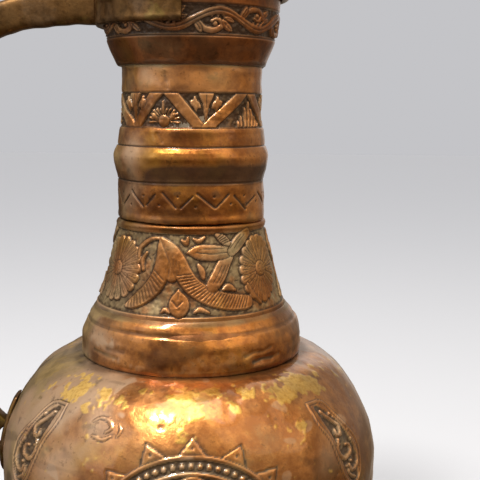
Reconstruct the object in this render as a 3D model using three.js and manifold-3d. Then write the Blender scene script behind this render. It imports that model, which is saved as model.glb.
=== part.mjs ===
// A large hand-raised copper water jug: pear body on a foot ring, tall banded neck, wired mouth cup,
// cast brass handle clasped round the cup, and a domed lid on a hinge above the handle.
// Millimetres, +Z up, origin on the jug's axis at the underside of its base. The handle is towards -X.
import * as THREE from 'three';
import { mergeVertices } from 'three/addons/utils/BufferGeometryUtils.js';
import Module from 'manifold-3d';

const wasm = await Module();
wasm.setup();

// ---- driving dimensions ----
const ROUND = 32;               // sides of every large turned piece
const GAP = 0.35;               // clearance between pieces that touch
const SHEET = 1.5;              // raised copper sheet
const THIN_SHEET = 1.2;         // collar and lid sheet

const BASE_RADIUS = 61.8;
const BASE_THICKNESS = 1.6;
const FOOT_RADIUS = 69.2;
const FOOT_HEIGHT = 12.6;

const BELLY_RADIUS = 115.5;
const BELLY_Z = 143;            // height of the widest ring
const BODY_SEAM_Z = 124.5;      // butt seam between the lower and upper body, brazed and planished flush
const SHOULDER_TOP_Z = 210.6;
const SHOULDER_HOLE_RADIUS = 61.9;

const COLLAR_RADIUS = 67.6;
const COLLAR_LOW_Z = 211;
const COLLAR_TOP_Z = 239;

const NECK_RADIUS = 42;
const BULGE_RADIUS = 46.5;
const BULGE_Z = 326.6;
const NECK_SEAM_Z = 293.2;      // lower edge of the neck tube, lapped over the flare
const NECK_TOP_Z = 391;

const CUP_FOOT_Z = 381.4;
const CUP_RADIUS = 52.4;
const RIM_Z = 424;              // centre of the wired edge
const WIRE_RADIUS = 1.9;

const CLASP_LOW_Z = 405.2;
const CLASP_HIGH_Z = RIM_Z - 4.3;
const CLASP_END_X = -5.7;       // square ends of the clasp's two arms
const CLASP_RADIUS = 56.8;

const HANDLE_TOP_Z = RIM_Z - 0.7;   // flat seat for the hinge bracket
const PLATE_Z = 154;                // centre of the handle's foot plate
const PLATE_HALF_HEIGHT = 26;
const PLATE_HALF_WIDTH = 18.5;
const PLATE_THICKNESS = 2;

const HINGE_X = -66.2;
const HINGE_Z = RIM_Z + 7.8;
const PIN_RADIUS = 1.8;
const BORE_RADIUS = 2.15;
const EAR_RADIUS = 4.6;
const EAR_INNER_Y = 4.1;
const EAR_THICKNESS = 3.2;
const KNUCKLE_RADIUS = 3.9;
const KNUCKLE_HALF_WIDTH = 3.7;
const STRAP_THICKNESS = 1.6;

const LID_RADIUS = 58.2;
const LID_Z = RIM_Z + 5.7;      // top face of the lid's flange
const LID_TOP_Z = LID_Z + 38.3;
const FINIAL_HEIGHT = 26.8;     // above the lid

// ---- materials ----
const finish = (name, color, roughness, metalness = 1) =>
  new THREE.MeshStandardMaterial({ name, color, roughness, metalness });
const COPPER = finish('copper', 0xb8703a, 0.32);
const DARK_COPPER = finish('dark_copper', 0x8a5128, 0.45);
const CAST_BRASS = finish('cast_brass', 0x7d6234, 0.5);
const RIVET_COPPER = finish('rivet_copper', 0x9c6238, 0.4);
const IRON = finish('iron', 0x5a544d, 0.6);

// ---- solids ----
function toSolid(geometry) {
  const bare = geometry.clone();
  bare.deleteAttribute('normal');
  bare.deleteAttribute('uv');
  const welded = mergeVertices(bare, 1e-3);
  const corners = welded.index.array;
  const kept = [];
  for (let i = 0; i < corners.length; i += 3) {
    const [a, b, c] = [corners[i], corners[i + 1], corners[i + 2]];
    if (a !== b && b !== c && c !== a) kept.push(a, b, c);
  }
  return new wasm.Manifold(new wasm.Mesh({
    numProp: 3,
    vertProperties: Float32Array.from(welded.attributes.position.array),
    triVerts: Uint32Array.from(kept),
  }));
}

function toGeometry(solid) {
  const mesh = solid.getMesh();
  const geometry = new THREE.BufferGeometry();
  geometry.setAttribute('position', new THREE.BufferAttribute(Float32Array.from(mesh.vertProperties), 3));
  geometry.setIndex(new THREE.BufferAttribute(Uint32Array.from(mesh.triVerts), 1));
  geometry.computeVertexNormals();
  return geometry;
}

const radians = THREE.MathUtils.degToRad;

// Points [radius, height] of an arc about (radius, height), from and to in degrees.
function arc(radius, height, size, from, to, steps) {
  return Array.from({ length: steps + 1 }, (_, i) => {
    const angle = radians(from + (to - from) * i / steps);
    return [radius + size * Math.cos(angle), height + size * Math.sin(angle)];
  });
}

function smooth(points, steps) {
  const curve = new THREE.SplineCurve(points.map(([r, z]) => new THREE.Vector2(r, z)));
  return curve.getPoints(steps).map((p) => [p.x, p.y]);
}

// Moves an outline that runs up its outer side inwards by a distance, square to itself.
function offset(points, distance) {
  return points.map(([r, z], i) => {
    const before = points[Math.max(i - 1, 0)];
    const after = points[Math.min(i + 1, points.length - 1)];
    const [dr, dz] = [after[0] - before[0], after[1] - before[1]];
    const length = Math.hypot(dr, dz);
    return [r - distance * dz / length, z + distance * dr / length];
  });
}

// A sheet-metal wall: the outer outline, and the same outline one thickness further in.
const wall = (points, thickness) => [...points, ...offset(points, thickness).reverse()];

// A turned piece about Z from a section given anticlockwise in (radius, height).
function turned(section, sides = ROUND) {
  const points = section.map(([r, z]) => new THREE.Vector2(r, z));
  const onAxis = section[0][0] === 0 && section[section.length - 1][0] === 0;
  if (!onAxis) points.push(points[0].clone());
  return toSolid(new THREE.LatheGeometry(points, sides).rotateX(Math.PI / 2));
}

// A plate with the given outline, pushed along Z from low to high.
function prism(shape, low, high, curveSegments = 5) {
  const depth = high - low;
  const geometry = new THREE.ExtrudeGeometry(shape, { depth, bevelEnabled: false, curveSegments });
  return geometry.translate(0, 0, low);
}

const block = (x0, x1, y0, y1, z0, z1) => toSolid(
  new THREE.BoxGeometry(x1 - x0, y1 - y0, z1 - z0).translate((x0 + x1) / 2, (y0 + y1) / 2, (z0 + z1) / 2));

const rod = (radius, low, high, sides = 12) => turned([[0, low], [radius, low], [radius, high], [0, high]], sides);

const alongY = (solid) => solid.rotate([90, 0, 0]);

// ---- assembly ----
const jug = new THREE.Group();

function add(name, solid, material, parent = jug) {
  const mesh = new THREE.Mesh(toGeometry(solid), material);
  mesh.name = name;
  parent.add(mesh);
  return mesh;
}

// ---- body ----
const bodyOutline = [
  [BASE_RADIUS - 0.1, BASE_THICKNESS + GAP],
  [BASE_RADIUS - 0.1, FOOT_HEIGHT - 1],
  ...smooth([
    [64, 17], [77, 28], [90, 44], [98.4, 58], [107, 82], [113.4, 110], [BELLY_RADIUS, BELLY_Z], [114.3, 157.5],
    [110, 172.5], [104, 184.8], [96, 195.3], [88, 202.5], [80, 206.9], [72, 209.3], [66, 210.2],
  ], 17),
  [SHOULDER_HOLE_RADIUS, SHOULDER_TOP_Z],
];

// The stretch of the body that the handle's foot plate lies on.
const bellyOutline = bodyOutline.slice(7, 16);

function footRing() {
  return turned([
    [BASE_RADIUS + GAP, 0],
    [FOOT_RADIUS - 0.8, 0],
    [FOOT_RADIUS, 0.9],
    [FOOT_RADIUS, 4.2],
    [FOOT_RADIUS - 1.2, 5.4],
    [FOOT_RADIUS - 4.4, 7.6],
    [FOOT_RADIUS - 5, 10.4],
    [FOOT_RADIUS - 5, FOOT_HEIGHT],
    [BASE_RADIUS + GAP, FOOT_HEIGHT],
  ]);
}

const basePlate = () => turned([[0, 0], [BASE_RADIUS, 0], [BASE_RADIUS, BASE_THICKNESS], [0, BASE_THICKNESS]]);

// ---- neck ----
const neckFlare = () => turned(wall([
  [61, 206],
  [59.6, 222],
  [58.2, 238.4],
  ...smooth([[57, 243.5], [53.1, 253.1], [48.8, 269.8], [45.3, 282.8]], 3),
  [44.4, 287],
  ...arc(43.4, 290, 1.6, -40, 50, 2),
  [NECK_RADIUS - 0.4, 292.4],
  [NECK_RADIUS - 0.4, 302],
], SHEET));

const torusCollar = () => turned(wall([
  [66.9, COLLAR_LOW_Z],
  ...smooth([[COLLAR_RADIUS, 215.5], [67.2, 222], [65.8, 227.6], [63.4, 233.2]], 4),
  [61.2, 236.6],
  [60, COLLAR_TOP_Z],
], THIN_SHEET));

const neckTube = () => turned(wall([
  [44.5, NECK_SEAM_Z],
  [44, 314],
  [44.5, 317.8],
  ...smooth([[45.8, 321.4], [BULGE_RADIUS, BULGE_Z], [45.8, 331.4]], 2),
  [44.1, 335.6],
  [43.4, 344.5],
  [NECK_RADIUS + 0.2, 349.5],
  [NECK_RADIUS, NECK_TOP_Z],
], SHEET));

// ---- mouth ----
const CURL_RADIUS = WIRE_RADIUS + 0.35 + SHEET;
const CURL_CENTRE = CUP_RADIUS - SHEET + CURL_RADIUS;

function mouthCup() {
  const outside = [[45.2, CUP_FOOT_Z + 0.6], [47, 389], [50.3, 402.8], [51.8, 411.5], [CUP_RADIUS - 0.1, 419]];
  const inside = offset(outside.slice(1), SHEET).reverse();
  return turned([
    [42.5, CUP_FOOT_Z],
    [44.6, CUP_FOOT_Z],
    ...outside,
    ...arc(CURL_CENTRE, RIM_Z, CURL_RADIUS - SHEET, 180, -112, 6),
    ...arc(CURL_CENTRE, RIM_Z, CURL_RADIUS, -112, 180, 6),
    ...inside,
    [42.5, CUP_FOOT_Z + 3.4],
  ]);
}

const rimWire = () => turned(arc(CURL_CENTRE, RIM_Z, WIRE_RADIUS, 0, 300, 5));

// ---- handle ----
function claspCollar() {
  const ring = turned([
    [51.5, CLASP_LOW_Z],
    [CLASP_RADIUS - 0.7, CLASP_LOW_Z],
    [CLASP_RADIUS, CLASP_LOW_Z + 1.4],
    [CLASP_RADIUS, CLASP_HIGH_Z - 1.4],
    [CLASP_RADIUS - 0.6, CLASP_HIGH_Z],
    [CUP_RADIUS + GAP, CLASP_HIGH_Z],
    [CUP_RADIUS - 0.1, CLASP_LOW_Z + 6],
  ]);
  return ring.intersect(block(-80, CLASP_END_X, -80, 80, CLASP_LOW_Z - 5, CLASP_HIGH_Z + 5));
}

const HANDLE_LINE = new THREE.CatmullRomCurve3([
  [-54, 415.1], [-72, 414.8], [-87, 413.2], [-103, 410.6], [-122, 402.5], [-141, 383], [-156, 347],
  [-162, 300], [-159, 252], [-148, 207], [-131, 174], [-110, 151],
].map(([x, z]) => new THREE.Vector3(x, 0, z)));

// Depth and width of the handle at a fraction of its length: stout at the clasp, slimmer down the grip.
const { smoothstep } = THREE.MathUtils;
const handleDepth = (t) => 19.2 - 9.2 * smoothstep(t, 0.16, 0.62) + 2 * smoothstep(t, 0.85, 1);
const handleWidth = (t) => 15 - 4 * smoothstep(t, 0.1, 0.5);

function roundedSquare(corner) {
  const half = 0.5;
  const shape = new THREE.Shape();
  shape.moveTo(half, -half + corner);
  shape.lineTo(half, half - corner);
  shape.absarc(half - corner, half - corner, corner, 0, Math.PI / 2);
  shape.absarc(-half + corner, half - corner, corner, Math.PI / 2, Math.PI);
  shape.absarc(-half + corner, -half + corner, corner, Math.PI, Math.PI * 1.5);
  shape.absarc(half - corner, -half + corner, corner, Math.PI * 1.5, Math.PI * 2);
  return shape;
}

// A bar of unit section bent along the handle's line.
function handleBar() {
  const steps = 28;
  const section = roundedSquare(0.28);
  const bar = new THREE.ExtrudeGeometry(section, { depth: 1, steps, bevelEnabled: false, curveSegments: 2 });
  const side = new THREE.Vector3(0, 1, 0);
  const place = bar.attributes.position;
  for (let i = 0; i < place.count; i += 1) {
    const t = Math.min(Math.max(place.getZ(i), 0), 1);
    const up = new THREE.Vector3().crossVectors(side, HANDLE_LINE.getTangentAt(t)).normalize();
    const point = HANDLE_LINE.getPointAt(t);
    point.addScaledVector(up, place.getX(i) * handleDepth(t));
    point.addScaledVector(side, place.getY(i) * handleWidth(t));
    place.setXYZ(i, point.x, point.y, point.z);
  }
  return toSolid(bar);
}

// What the handle must stay clear of: the clasp, the wired rim above it, and the foot plate on the belly.
const claspKeepOut = () => turned([
  [0, CLASP_LOW_Z - 20],
  [CLASP_RADIUS + GAP, CLASP_LOW_Z - 20],
  [CLASP_RADIUS + GAP, CLASP_HIGH_Z],
  [CURL_CENTRE + CURL_RADIUS + 0.6, CLASP_HIGH_Z + 0.3],
  [CURL_CENTRE + CURL_RADIUS + 0.6, RIM_Z + 15],
  [0, RIM_Z + 15],
]);

function bellyShell(innerGap, outerGap) {
  return [...offset(bellyOutline, -outerGap), ...offset(bellyOutline, -innerGap).reverse()];
}

const bellyKeepOut = () => turned([
  [0, 70],
  ...offset(bellyOutline, -(PLATE_THICKNESS + 2 * GAP)),
  [0, SHOULDER_TOP_Z - 10],
]);

const BRACKET_RIVETS = [[-78, -4], [-78, 4]];

function handle() {
  const seat = block(-200, 0, -40, 40, HANDLE_TOP_Z, HANDLE_TOP_Z + 40);
  let bar = handleBar().subtract(claspKeepOut()).subtract(bellyKeepOut()).subtract(seat);
  for (const [x, y] of BRACKET_RIVETS) {
    bar = bar.subtract(rod(1.75, HANDLE_TOP_Z - 6, HANDLE_TOP_Z + 2, 10).translate([x, y, 0]));
  }
  return bar;
}

// ---- handle foot plate and its rivets ----
const PLATE_RIVETS = [
  { height: PLATE_Z - 3.5, side: 12.2, turn: 5.6 },
  { height: PLATE_Z - 3.5, side: -12.2, turn: -5.6 },
  { height: PLATE_Z - 16, side: 0, turn: 0 },
];

// A rivet along Z: domed head from z = 0 up, shank below it, and a flat peened end.
function rivet(shankRadius, shankLength, headRadius, headHeight) {
  return turned([
    [0, -shankLength - 1.3],
    [headRadius * 0.62, -shankLength - 1.3],
    [headRadius * 0.8, -shankLength],
    [shankRadius, -shankLength],
    [shankRadius, 0],
    [headRadius, 0],
    [headRadius * 0.9, headHeight * 0.5],
    [headRadius * 0.5, headHeight * 0.92],
    [0, headHeight],
  ], 10);
}

// Turns a rivet's axis to point out of the belly at -X, swung by a few degrees about Z.
function bellyPlace(solid, { height, side, turn }) {
  const outward = 180 - turn;
  const radius = BELLY_RADIUS + PLATE_THICKNESS + 3 * GAP - 0.4;
  const x = -Math.sqrt(radius ** 2 - side ** 2) * (side === 0 ? 1 : 0.9995);
  return solid.rotate([0, 90, 0]).rotate([0, 0, outward]).translate([x, side, height]);
}

const shankHole = () => rod(2.35, -12, 1);

function footPlate() {
  const [w, h] = [PLATE_HALF_WIDTH, PLATE_HALF_HEIGHT];
  const leaf = new THREE.Shape();
  leaf.moveTo(0, -h);
  leaf.bezierCurveTo(5, 3 - h, w + 0.5, 10 - h, w, 22 - h);
  leaf.bezierCurveTo(w - 0.5, 34 - h, 12, 42 - h, 8, h);
  leaf.lineTo(-8, h);
  leaf.bezierCurveTo(-12, 42 - h, 0.5 - w, 34 - h, -w, 22 - h);
  leaf.bezierCurveTo(-w - 0.5, 10 - h, -5, 3 - h, 0, -h);
  const cutter = toSolid(prism(leaf, 80, 130, 6)).rotate([90, 0, -90]).translate([0, 0, PLATE_Z]);
  return turned(bellyShell(GAP, GAP + PLATE_THICKNESS)).intersect(cutter);
}

const riveted = (solid) => PLATE_RIVETS.reduce((cut, place) => cut.subtract(bellyPlace(shankHole(), place)), solid);

// ---- hinge ----
function hingeEar() {
  const outline = new THREE.Shape();
  outline.moveTo(HINGE_X - EAR_RADIUS, HANDLE_TOP_Z + 1);
  outline.lineTo(HINGE_X + EAR_RADIUS, HANDLE_TOP_Z + 1);
  outline.absarc(HINGE_X, HINGE_Z, EAR_RADIUS, 0, Math.PI);
  return toSolid(prism(outline, EAR_INNER_Y, EAR_INNER_Y + EAR_THICKNESS, 7)).rotate([90, 0, 0]);
}

const hingeBore = () => alongY(rod(BORE_RADIUS, -12, 12, 14)).translate([HINGE_X, 0, HINGE_Z]);

function hingeBracket() {
  const seatZ = HANDLE_TOP_Z + GAP;
  let bracket = block(-83, HINGE_X + EAR_RADIUS, -7.3, 7.3, seatZ, seatZ + 2);
  bracket = bracket.add(hingeEar()).add(hingeEar().mirror([0, 1, 0])).subtract(hingeBore());
  for (const [x, y] of BRACKET_RIVETS) {
    bracket = bracket.subtract(rod(1.75, seatZ - 1, seatZ + 3, 10).translate([x, y, 0]));
  }
  return bracket;
}

const bracketRivet = () => turned([
  [0, -7], [1.4, -7], [1.4, 0], [2.6, 0], [2.3, 0.9], [1.2, 1.5], [0, 1.6],
], 10);

function hingePin() {
  const reach = EAR_INNER_Y + EAR_THICKNESS + GAP;
  const pin = turned([
    [0, -reach - 1.5], [1.8, -reach - 1.5], [2.9, -reach - 0.5], [2.9, -reach], [PIN_RADIUS, -reach],
    [PIN_RADIUS, reach], [2.9, reach], [2.9, reach + 0.5], [1.8, reach + 1.5], [0, reach + 1.5],
  ], 14);
  return alongY(pin).translate([HINGE_X, 0, HINGE_Z]);
}

// ---- lid ----
const lidOutline = [
  [LID_RADIUS, LID_Z],
  [52.6, LID_Z],
  [50.2, LID_Z + 1.5],
  ...smooth([[49.2, 5.1], [46, 12.1], [38, 20.6], [27, 27.3], [16, 32.3], [8, 36.3]], 6)
    .map(([r, z]) => [r, LID_Z + z]),
  [3.4, LID_TOP_Z],
];

// Where a strap rivet sits: square to the lid halfway along one stretch of its outline, clear of the strap.
function strapPlace(stretch) {
  const [[r0, z0], [r1, z1]] = [lidOutline[stretch], lidOutline[stretch + 1]];
  const tilt = Math.atan2(z1 - z0, r0 - r1);
  const lift = STRAP_THICKNESS + 2.5 * GAP;
  return {
    x: -((r0 + r1) / 2 + lift * Math.sin(tilt)),
    z: (z0 + z1) / 2 + lift * Math.cos(tilt),
    tilt: THREE.MathUtils.radToDeg(tilt),
  };
}

const STRAP_RIVETS = [4, 5].map(strapPlace);

// Places a piece that points up Z onto the lid's slope, leaning towards -X.
const lidPlace = (solid, { x, z, tilt }) => solid.rotate([0, -tilt, 0]).translate([x, 0, z]);

const strapHole = () => rod(1.75, -8, 3, 10);

const withStrapHoles = (solid) => (
  STRAP_RIVETS.reduce((cut, place) => cut.subtract(lidPlace(strapHole(), place)), solid));

const lidDome = () => withStrapHoles(turned(wall(lidOutline, THIN_SHEET)));

const lidTongue = () => turned(wall([
  [46.4, RIM_Z - 8.2],
  [46.4, RIM_Z + 4],
  [47.5, RIM_Z + 10.4],
], THIN_SHEET));

function lidStrap() {
  const outline = [[61, LID_Z], ...lidOutline.slice(1, 8)];
  const shell = turned([...offset(outline, -(GAP + STRAP_THICKNESS)), ...offset(outline, -GAP).reverse()]);
  const leaf = new THREE.Shape();
  leaf.moveTo(-60.2, -7);
  leaf.lineTo(-48, -7);
  leaf.bezierCurveTo(-40, -7, -34, -5.5, -28, 0);
  leaf.bezierCurveTo(-34, 5.5, -40, 7, -48, 7);
  leaf.lineTo(-60.2, 7);
  const plate = shell.intersect(toSolid(prism(leaf, LID_Z - 6, LID_Z + 60, 6)));
  const knuckle = alongY(rod(KNUCKLE_RADIUS, -KNUCKLE_HALF_WIDTH, KNUCKLE_HALF_WIDTH, 18));
  const web = block(HINGE_X, -57.5, -KNUCKLE_HALF_WIDTH, KNUCKLE_HALF_WIDTH, LID_Z + GAP, HINGE_Z + 1.6);
  const strap = plate.add(knuckle.translate([HINGE_X, 0, HINGE_Z])).add(web);
  return withStrapHoles(strap.subtract(hingeBore()));
}

const strapRivet = () => rivet(1.4, 4.4, 2.7, 1.5);

const finial = () => turned([
  [0, LID_TOP_Z - 5],
  [3.2, LID_TOP_Z - 5],
  [4.2, LID_TOP_Z - 3.8],
  [2.6, LID_TOP_Z - 3.2],
  [2.6, LID_TOP_Z + 0.6],
  [7.2, LID_TOP_Z + 0.6],
  [6.6, LID_TOP_Z + 2.6],
  [3.4, LID_TOP_Z + 4.4],
  [3, LID_TOP_Z + 7],
  ...arc(0, LID_TOP_Z + 14.8, 7.4, -55, 62, 6),
  [2.2, LID_TOP_Z + 23.4],
  [0, LID_TOP_Z + FINIAL_HEIGHT],
], 18);

// ---- the jug ----
add('foot_ring', footRing(), DARK_COPPER);
add('base_plate', basePlate(), DARK_COPPER);
const bodyShell = riveted(turned(wall(bodyOutline, SHEET)));
const belowSeam = block(-130, 130, -130, 130, 0, BODY_SEAM_Z - GAP / 2);
const aboveSeam = block(-130, 130, -130, 130, BODY_SEAM_Z + GAP / 2, 240);
add('lower_body', bodyShell.intersect(belowSeam), COPPER);
add('upper_body', bodyShell.intersect(aboveSeam), COPPER);
add('torus_collar', torusCollar(), COPPER);
add('neck_flare', neckFlare(), COPPER);
add('neck_tube', neckTube(), COPPER);
add('mouth_cup', mouthCup(), COPPER);
add('rim_wire', rimWire(), IRON);
add('clasp_collar', claspCollar(), CAST_BRASS);
add('handle', handle(), CAST_BRASS);
add('handle_foot_plate', riveted(footPlate()), CAST_BRASS);
PLATE_RIVETS.forEach((place, i) => {
  add(`foot_plate_rivet_${i + 1}`, bellyPlace(rivet(2, 5.6, 3.6, 2.4), place), RIVET_COPPER);
});
add('hinge_bracket', hingeBracket(), CAST_BRASS);
BRACKET_RIVETS.forEach(([x, y], i) => {
  const place = bracketRivet().translate([x, y, HANDLE_TOP_Z + 2 + 2 * GAP]);
  add(`bracket_rivet_${i + 1}`, place, RIVET_COPPER);
});
add('hinge_pin', hingePin(), IRON);

const lid = new THREE.Group();
jug.add(lid);
add('lid_dome', lidDome(), COPPER, lid);
add('lid_tongue', lidTongue(), DARK_COPPER, lid);
add('lid_strap', lidStrap(), CAST_BRASS, lid);
STRAP_RIVETS.forEach((place, i) => add(`strap_rivet_${i + 1}`, lidPlace(strapRivet(), place), RIVET_COPPER, lid));
add('lid_finial', finial(), CAST_BRASS, lid);

export default jug;
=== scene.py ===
"""A hand-raised copper water jug with chased ornament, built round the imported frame. Metres, +Z up."""
import math

import bpy
import numpy as np
from mathutils import Matrix, Vector


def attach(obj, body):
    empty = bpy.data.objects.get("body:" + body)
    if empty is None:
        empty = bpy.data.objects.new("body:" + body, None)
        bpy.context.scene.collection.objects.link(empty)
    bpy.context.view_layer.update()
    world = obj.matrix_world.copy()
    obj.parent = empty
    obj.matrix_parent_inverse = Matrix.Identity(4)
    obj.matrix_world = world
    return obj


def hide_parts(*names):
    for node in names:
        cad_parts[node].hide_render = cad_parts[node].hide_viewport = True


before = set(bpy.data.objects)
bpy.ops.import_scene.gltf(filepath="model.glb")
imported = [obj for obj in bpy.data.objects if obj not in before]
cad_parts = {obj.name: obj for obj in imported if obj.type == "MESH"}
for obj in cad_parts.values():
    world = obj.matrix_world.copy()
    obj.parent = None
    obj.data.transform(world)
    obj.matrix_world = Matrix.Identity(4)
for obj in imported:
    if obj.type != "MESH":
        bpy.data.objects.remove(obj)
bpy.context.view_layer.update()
MM = 0.001

# ---------------------------------------------------------------- dimensions, millimetres
SHEET = 1.5
THIN_SHEET = 1.2
RIM_Z = 424.0
CUP_RADIUS = 52.4
WIRE_RADIUS = 1.9
CURL_RADIUS = WIRE_RADIUS + 0.35 + SHEET
CURL_CENTRE = CUP_RADIUS - SHEET + CURL_RADIUS
LID_Z = RIM_Z + 5.7
LID_TOP_Z = LID_Z + 38.3
PLATE_Z = 154.0
BELLY_RADIUS = 115.5


# ---------------------------------------------------------------- outlines
def spline(points, fine=16):
    """A smooth line through the given points, of any dimension."""
    p = np.array(points, float)
    padded = np.vstack([p[:1], p, p[-1:]])
    t = np.linspace(0, 1, fine, endpoint=False)[:, None]
    parts = [
        0.5 * (2 * b + (c - a) * t + (2 * a - 5 * b + 4 * c - d) * t**2 + (3 * b - a - 3 * c + d) * t**3)
        for a, b, c, d in zip(padded, padded[1:], padded[2:], padded[3:])
    ]
    return np.vstack([*parts, p[-1:]])


def arc(radius, height, size, start, stop, steps):
    turn = np.radians(np.linspace(start, stop, steps + 1))
    return np.column_stack([radius + size * np.cos(turn), height + size * np.sin(turn)])


def even(points, step):
    """The same line with points about one step apart."""
    points = np.array(points, float)
    run = np.concatenate([[0], np.cumsum(np.hypot(*np.diff(points, axis=0).T))])
    at = np.linspace(0, run[-1], max(2, round(run[-1] / step) + 1))
    return np.column_stack([np.interp(at, run, points[:, 0]), np.interp(at, run, points[:, 1])])


def outward(points):
    """Unit normals of a line that runs up its outer side."""
    along = np.gradient(points, axis=0)
    along /= np.hypot(*along.T)[:, None]
    return np.column_stack([along[:, 1], -along[:, 0]])


def inside_of(points, thickness, step=4):
    """The other face of a sheet, from its far end back to the start."""
    coarse = even(points, step)
    return (coarse - outward(coarse) * thickness)[::-1]


def smoothstep(x):
    x = np.clip(x, 0, 1)
    return x * x * (3 - 2 * x)


# ---------------------------------------------------------------- seeded surface noise
def soften(field, spacing, size):
    """Gaussian blur of a field; spacing is (row, column) in mm and size is the blur's radius in mm."""
    fy = np.fft.fftfreq(field.shape[0], spacing[0])[:, None]
    fx = np.fft.rfftfreq(field.shape[1], spacing[1])[None, :]
    keep = np.exp(-2 * (math.pi * size) ** 2 * (fy**2 + fx**2))
    return np.fft.irfft2(np.fft.rfft2(field) * keep, field.shape)


def noise(shape, spacing, size, seed):
    """Smooth noise with unit spread, without a seam round the piece."""
    white = np.random.default_rng(seed).standard_normal(shape)
    field = soften(white, spacing, size)
    return field / field.std()


# ---------------------------------------------------------------- chased sheet metal
class Chased:
    """The outer skin of a turned piece as a grid of places (row up the outline, column round the axis)
    that ornament is sunk, raised and cut into. Angles are in degrees from -Y towards +X."""

    def __init__(self, outline, step, columns, seed):
        self.profile = even(outline, step)
        self.radius, self.height = self.profile.T
        self.run = np.concatenate([[0], np.cumsum(np.hypot(*np.diff(self.profile, axis=0).T))])
        self.angle = np.arange(columns) * 360 / columns - 180
        self.shape = (len(self.profile), columns)
        self.spacing = (step, 2 * math.pi * self.radius.mean() / columns)
        self.seed = seed
        # The olive-patch, dark-patch and pale-haze layers hold real stains, dirt and haze together with
        # painted shade and a painted sheen.
        (self.lift, self.sunk, self.figure, self.dome, self.cut,
         self.braze, self.stain, self.soot, self.film) = (
            np.zeros(self.shape) for _ in range(9))
        # How strongly the sunk ground is darkened: partly dirt, partly painted shade in the recess.
        self.ground_grime_and_shade = 0.25

    def noise(self, size, seed):
        return noise(self.shape, self.spacing, size, self.seed * 100 + seed)

    def streaks(self, size, seed, stretch=5):
        """Noise drawn out round the axis."""
        return noise(self.shape, (self.spacing[0], self.spacing[1] / stretch), size, self.seed * 100 + seed)

    def side(self, start, width):
        """0 to 1 towards the -X side, from an angle on, fading again past the side: the mask for the painted
        sheen and painted shade on the left side.
        """
        return (smoothstep((start - self.angle) / width)[None, :]
                * smoothstep((self.angle + 128) / 44)[None, :])

    def clear_outside(self, low, high):
        """Takes away figures and cuts above and below a band."""
        outside = (self.height < low) | (self.height > high)
        for layer in (self.figure, self.dome, self.cut):
            layer[outside] = 0

    def flat(self, points):
        """(angle, height) points as (x, y) millimetres on the unrolled skin, round their middle angle."""
        points = np.array(points, float)
        centre = (points[:, 0].min() + points[:, 0].max()) / 2
        radius = np.interp(points[:, 1], self.height, self.radius)
        run = np.interp(points[:, 1], self.height, self.run)
        return centre, np.column_stack([np.radians(points[:, 0] - centre) * radius, run])

    def window(self, points, margin):
        centre, line = self.flat(points)
        low, high = line[:, 1].min() - margin, line[:, 1].max() + margin
        rows = np.flatnonzero((self.run > low) & (self.run < high))
        offset = (self.angle - centre + 180) % 360 - 180
        if len(rows) == 0:
            rows = np.array([0])
        wide = (np.abs(line[:, 0]).max() + margin) / self.radius[rows].min()
        columns = np.flatnonzero(np.abs(np.radians(offset)) < wide)
        x = np.radians(offset[columns])[None, :] * self.radius[rows][:, None]
        y = np.broadcast_to(self.run[rows][:, None], x.shape)
        return np.ix_(rows, columns), x, y, line

    def reach(self, points, half):
        """How deep inside a stroke each place lies, in mm."""
        half = np.broadcast_to(np.array(half, float), len(points))
        where, x, y, line = self.window(points, half.max() + 3)
        best = np.full(x.shape, -99.0)
        for (ax, ay), (bx, by), wa, wb in zip(line, line[1:], half, half[1:]):
            dx, dy = bx - ax, by - ay
            t = np.clip(((x - ax) * dx + (y - ay) * dy) / (dx * dx + dy * dy + 1e-9), 0, 1)
            best = np.maximum(best, wa + (wb - wa) * t - np.hypot(x - ax - t * dx, y - ay - t * dy))
        return where, best

    def raised(self, stroke, crown=0.35, edge=0.55, fine=6, rim=0.25):
        """A raised stroke over what is there, with a cut rim. Its points are (angle, height, half width)."""
        path = spline(stroke, fine) if fine else np.array(stroke, float)
        where, deep = self.reach(path[:, :2], path[:, 2])
        half = path[:, 2].max()
        inside = smoothstep(deep / edge + 0.5)
        self.figure[where] = np.maximum(self.figure[where], inside)
        swell = crown * np.sqrt(np.clip(1 - (1 - np.clip(deep / half, 0, 1)) ** 2, 0, 1))
        self.dome[where] = self.dome[where] * (1 - inside) + swell * inside
        kept = self.cut[where] * (1 - inside)
        self.cut[where] = np.maximum(kept, rim * smoothstep(1.25 - np.abs(deep + 0.15) / 0.42))

    def engraved(self, points, half=0.45, depth=0.35, fine=6):
        """A cut line through (angle, height) points."""
        path = spline(points, fine) if fine else np.array(points, float)
        where, deep = self.reach(path, half)
        self.cut[where] = np.maximum(self.cut[where], depth * smoothstep(deep / half + 0.25))

    def dent(self, points, half, depth, stain=0.2):
        """A soft hollow knocked in along a line."""
        where, deep = self.reach(np.array(points, float), half)
        hollow = smoothstep(deep / half + 0.05)
        self.lift[where] -= depth * hollow
        self.stain[where] += stain * hollow

    def wipe(self, angle, height, size):
        """Takes away the figures and cuts inside a circle."""
        where, deep = self.reach([(angle, height), (angle + 0.01, height)], size)
        kept = 1 - smoothstep(deep / 0.5 + 0.5)
        for layer in (self.figure, self.dome, self.cut):
            layer[where] *= kept

    def band(self, low, high, depth, edge=0.5):
        """A sunk band between two heights, all the way round."""
        run_low, run_high = np.interp([low, high], self.height, self.run)
        level = smoothstep((self.run - run_low) / edge) * smoothstep((run_high - self.run) / edge)
        self.sunk = np.maximum(self.sunk, depth * level[:, None])

    def ring(self, height, half=0.5, depth=0.4):
        """A line turned into the skin at one height."""
        run = np.interp(height, self.height, self.run)
        level = smoothstep(1.2 - np.abs(self.run - run) / half)
        self.cut = np.maximum(self.cut, depth * level[:, None])

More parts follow.
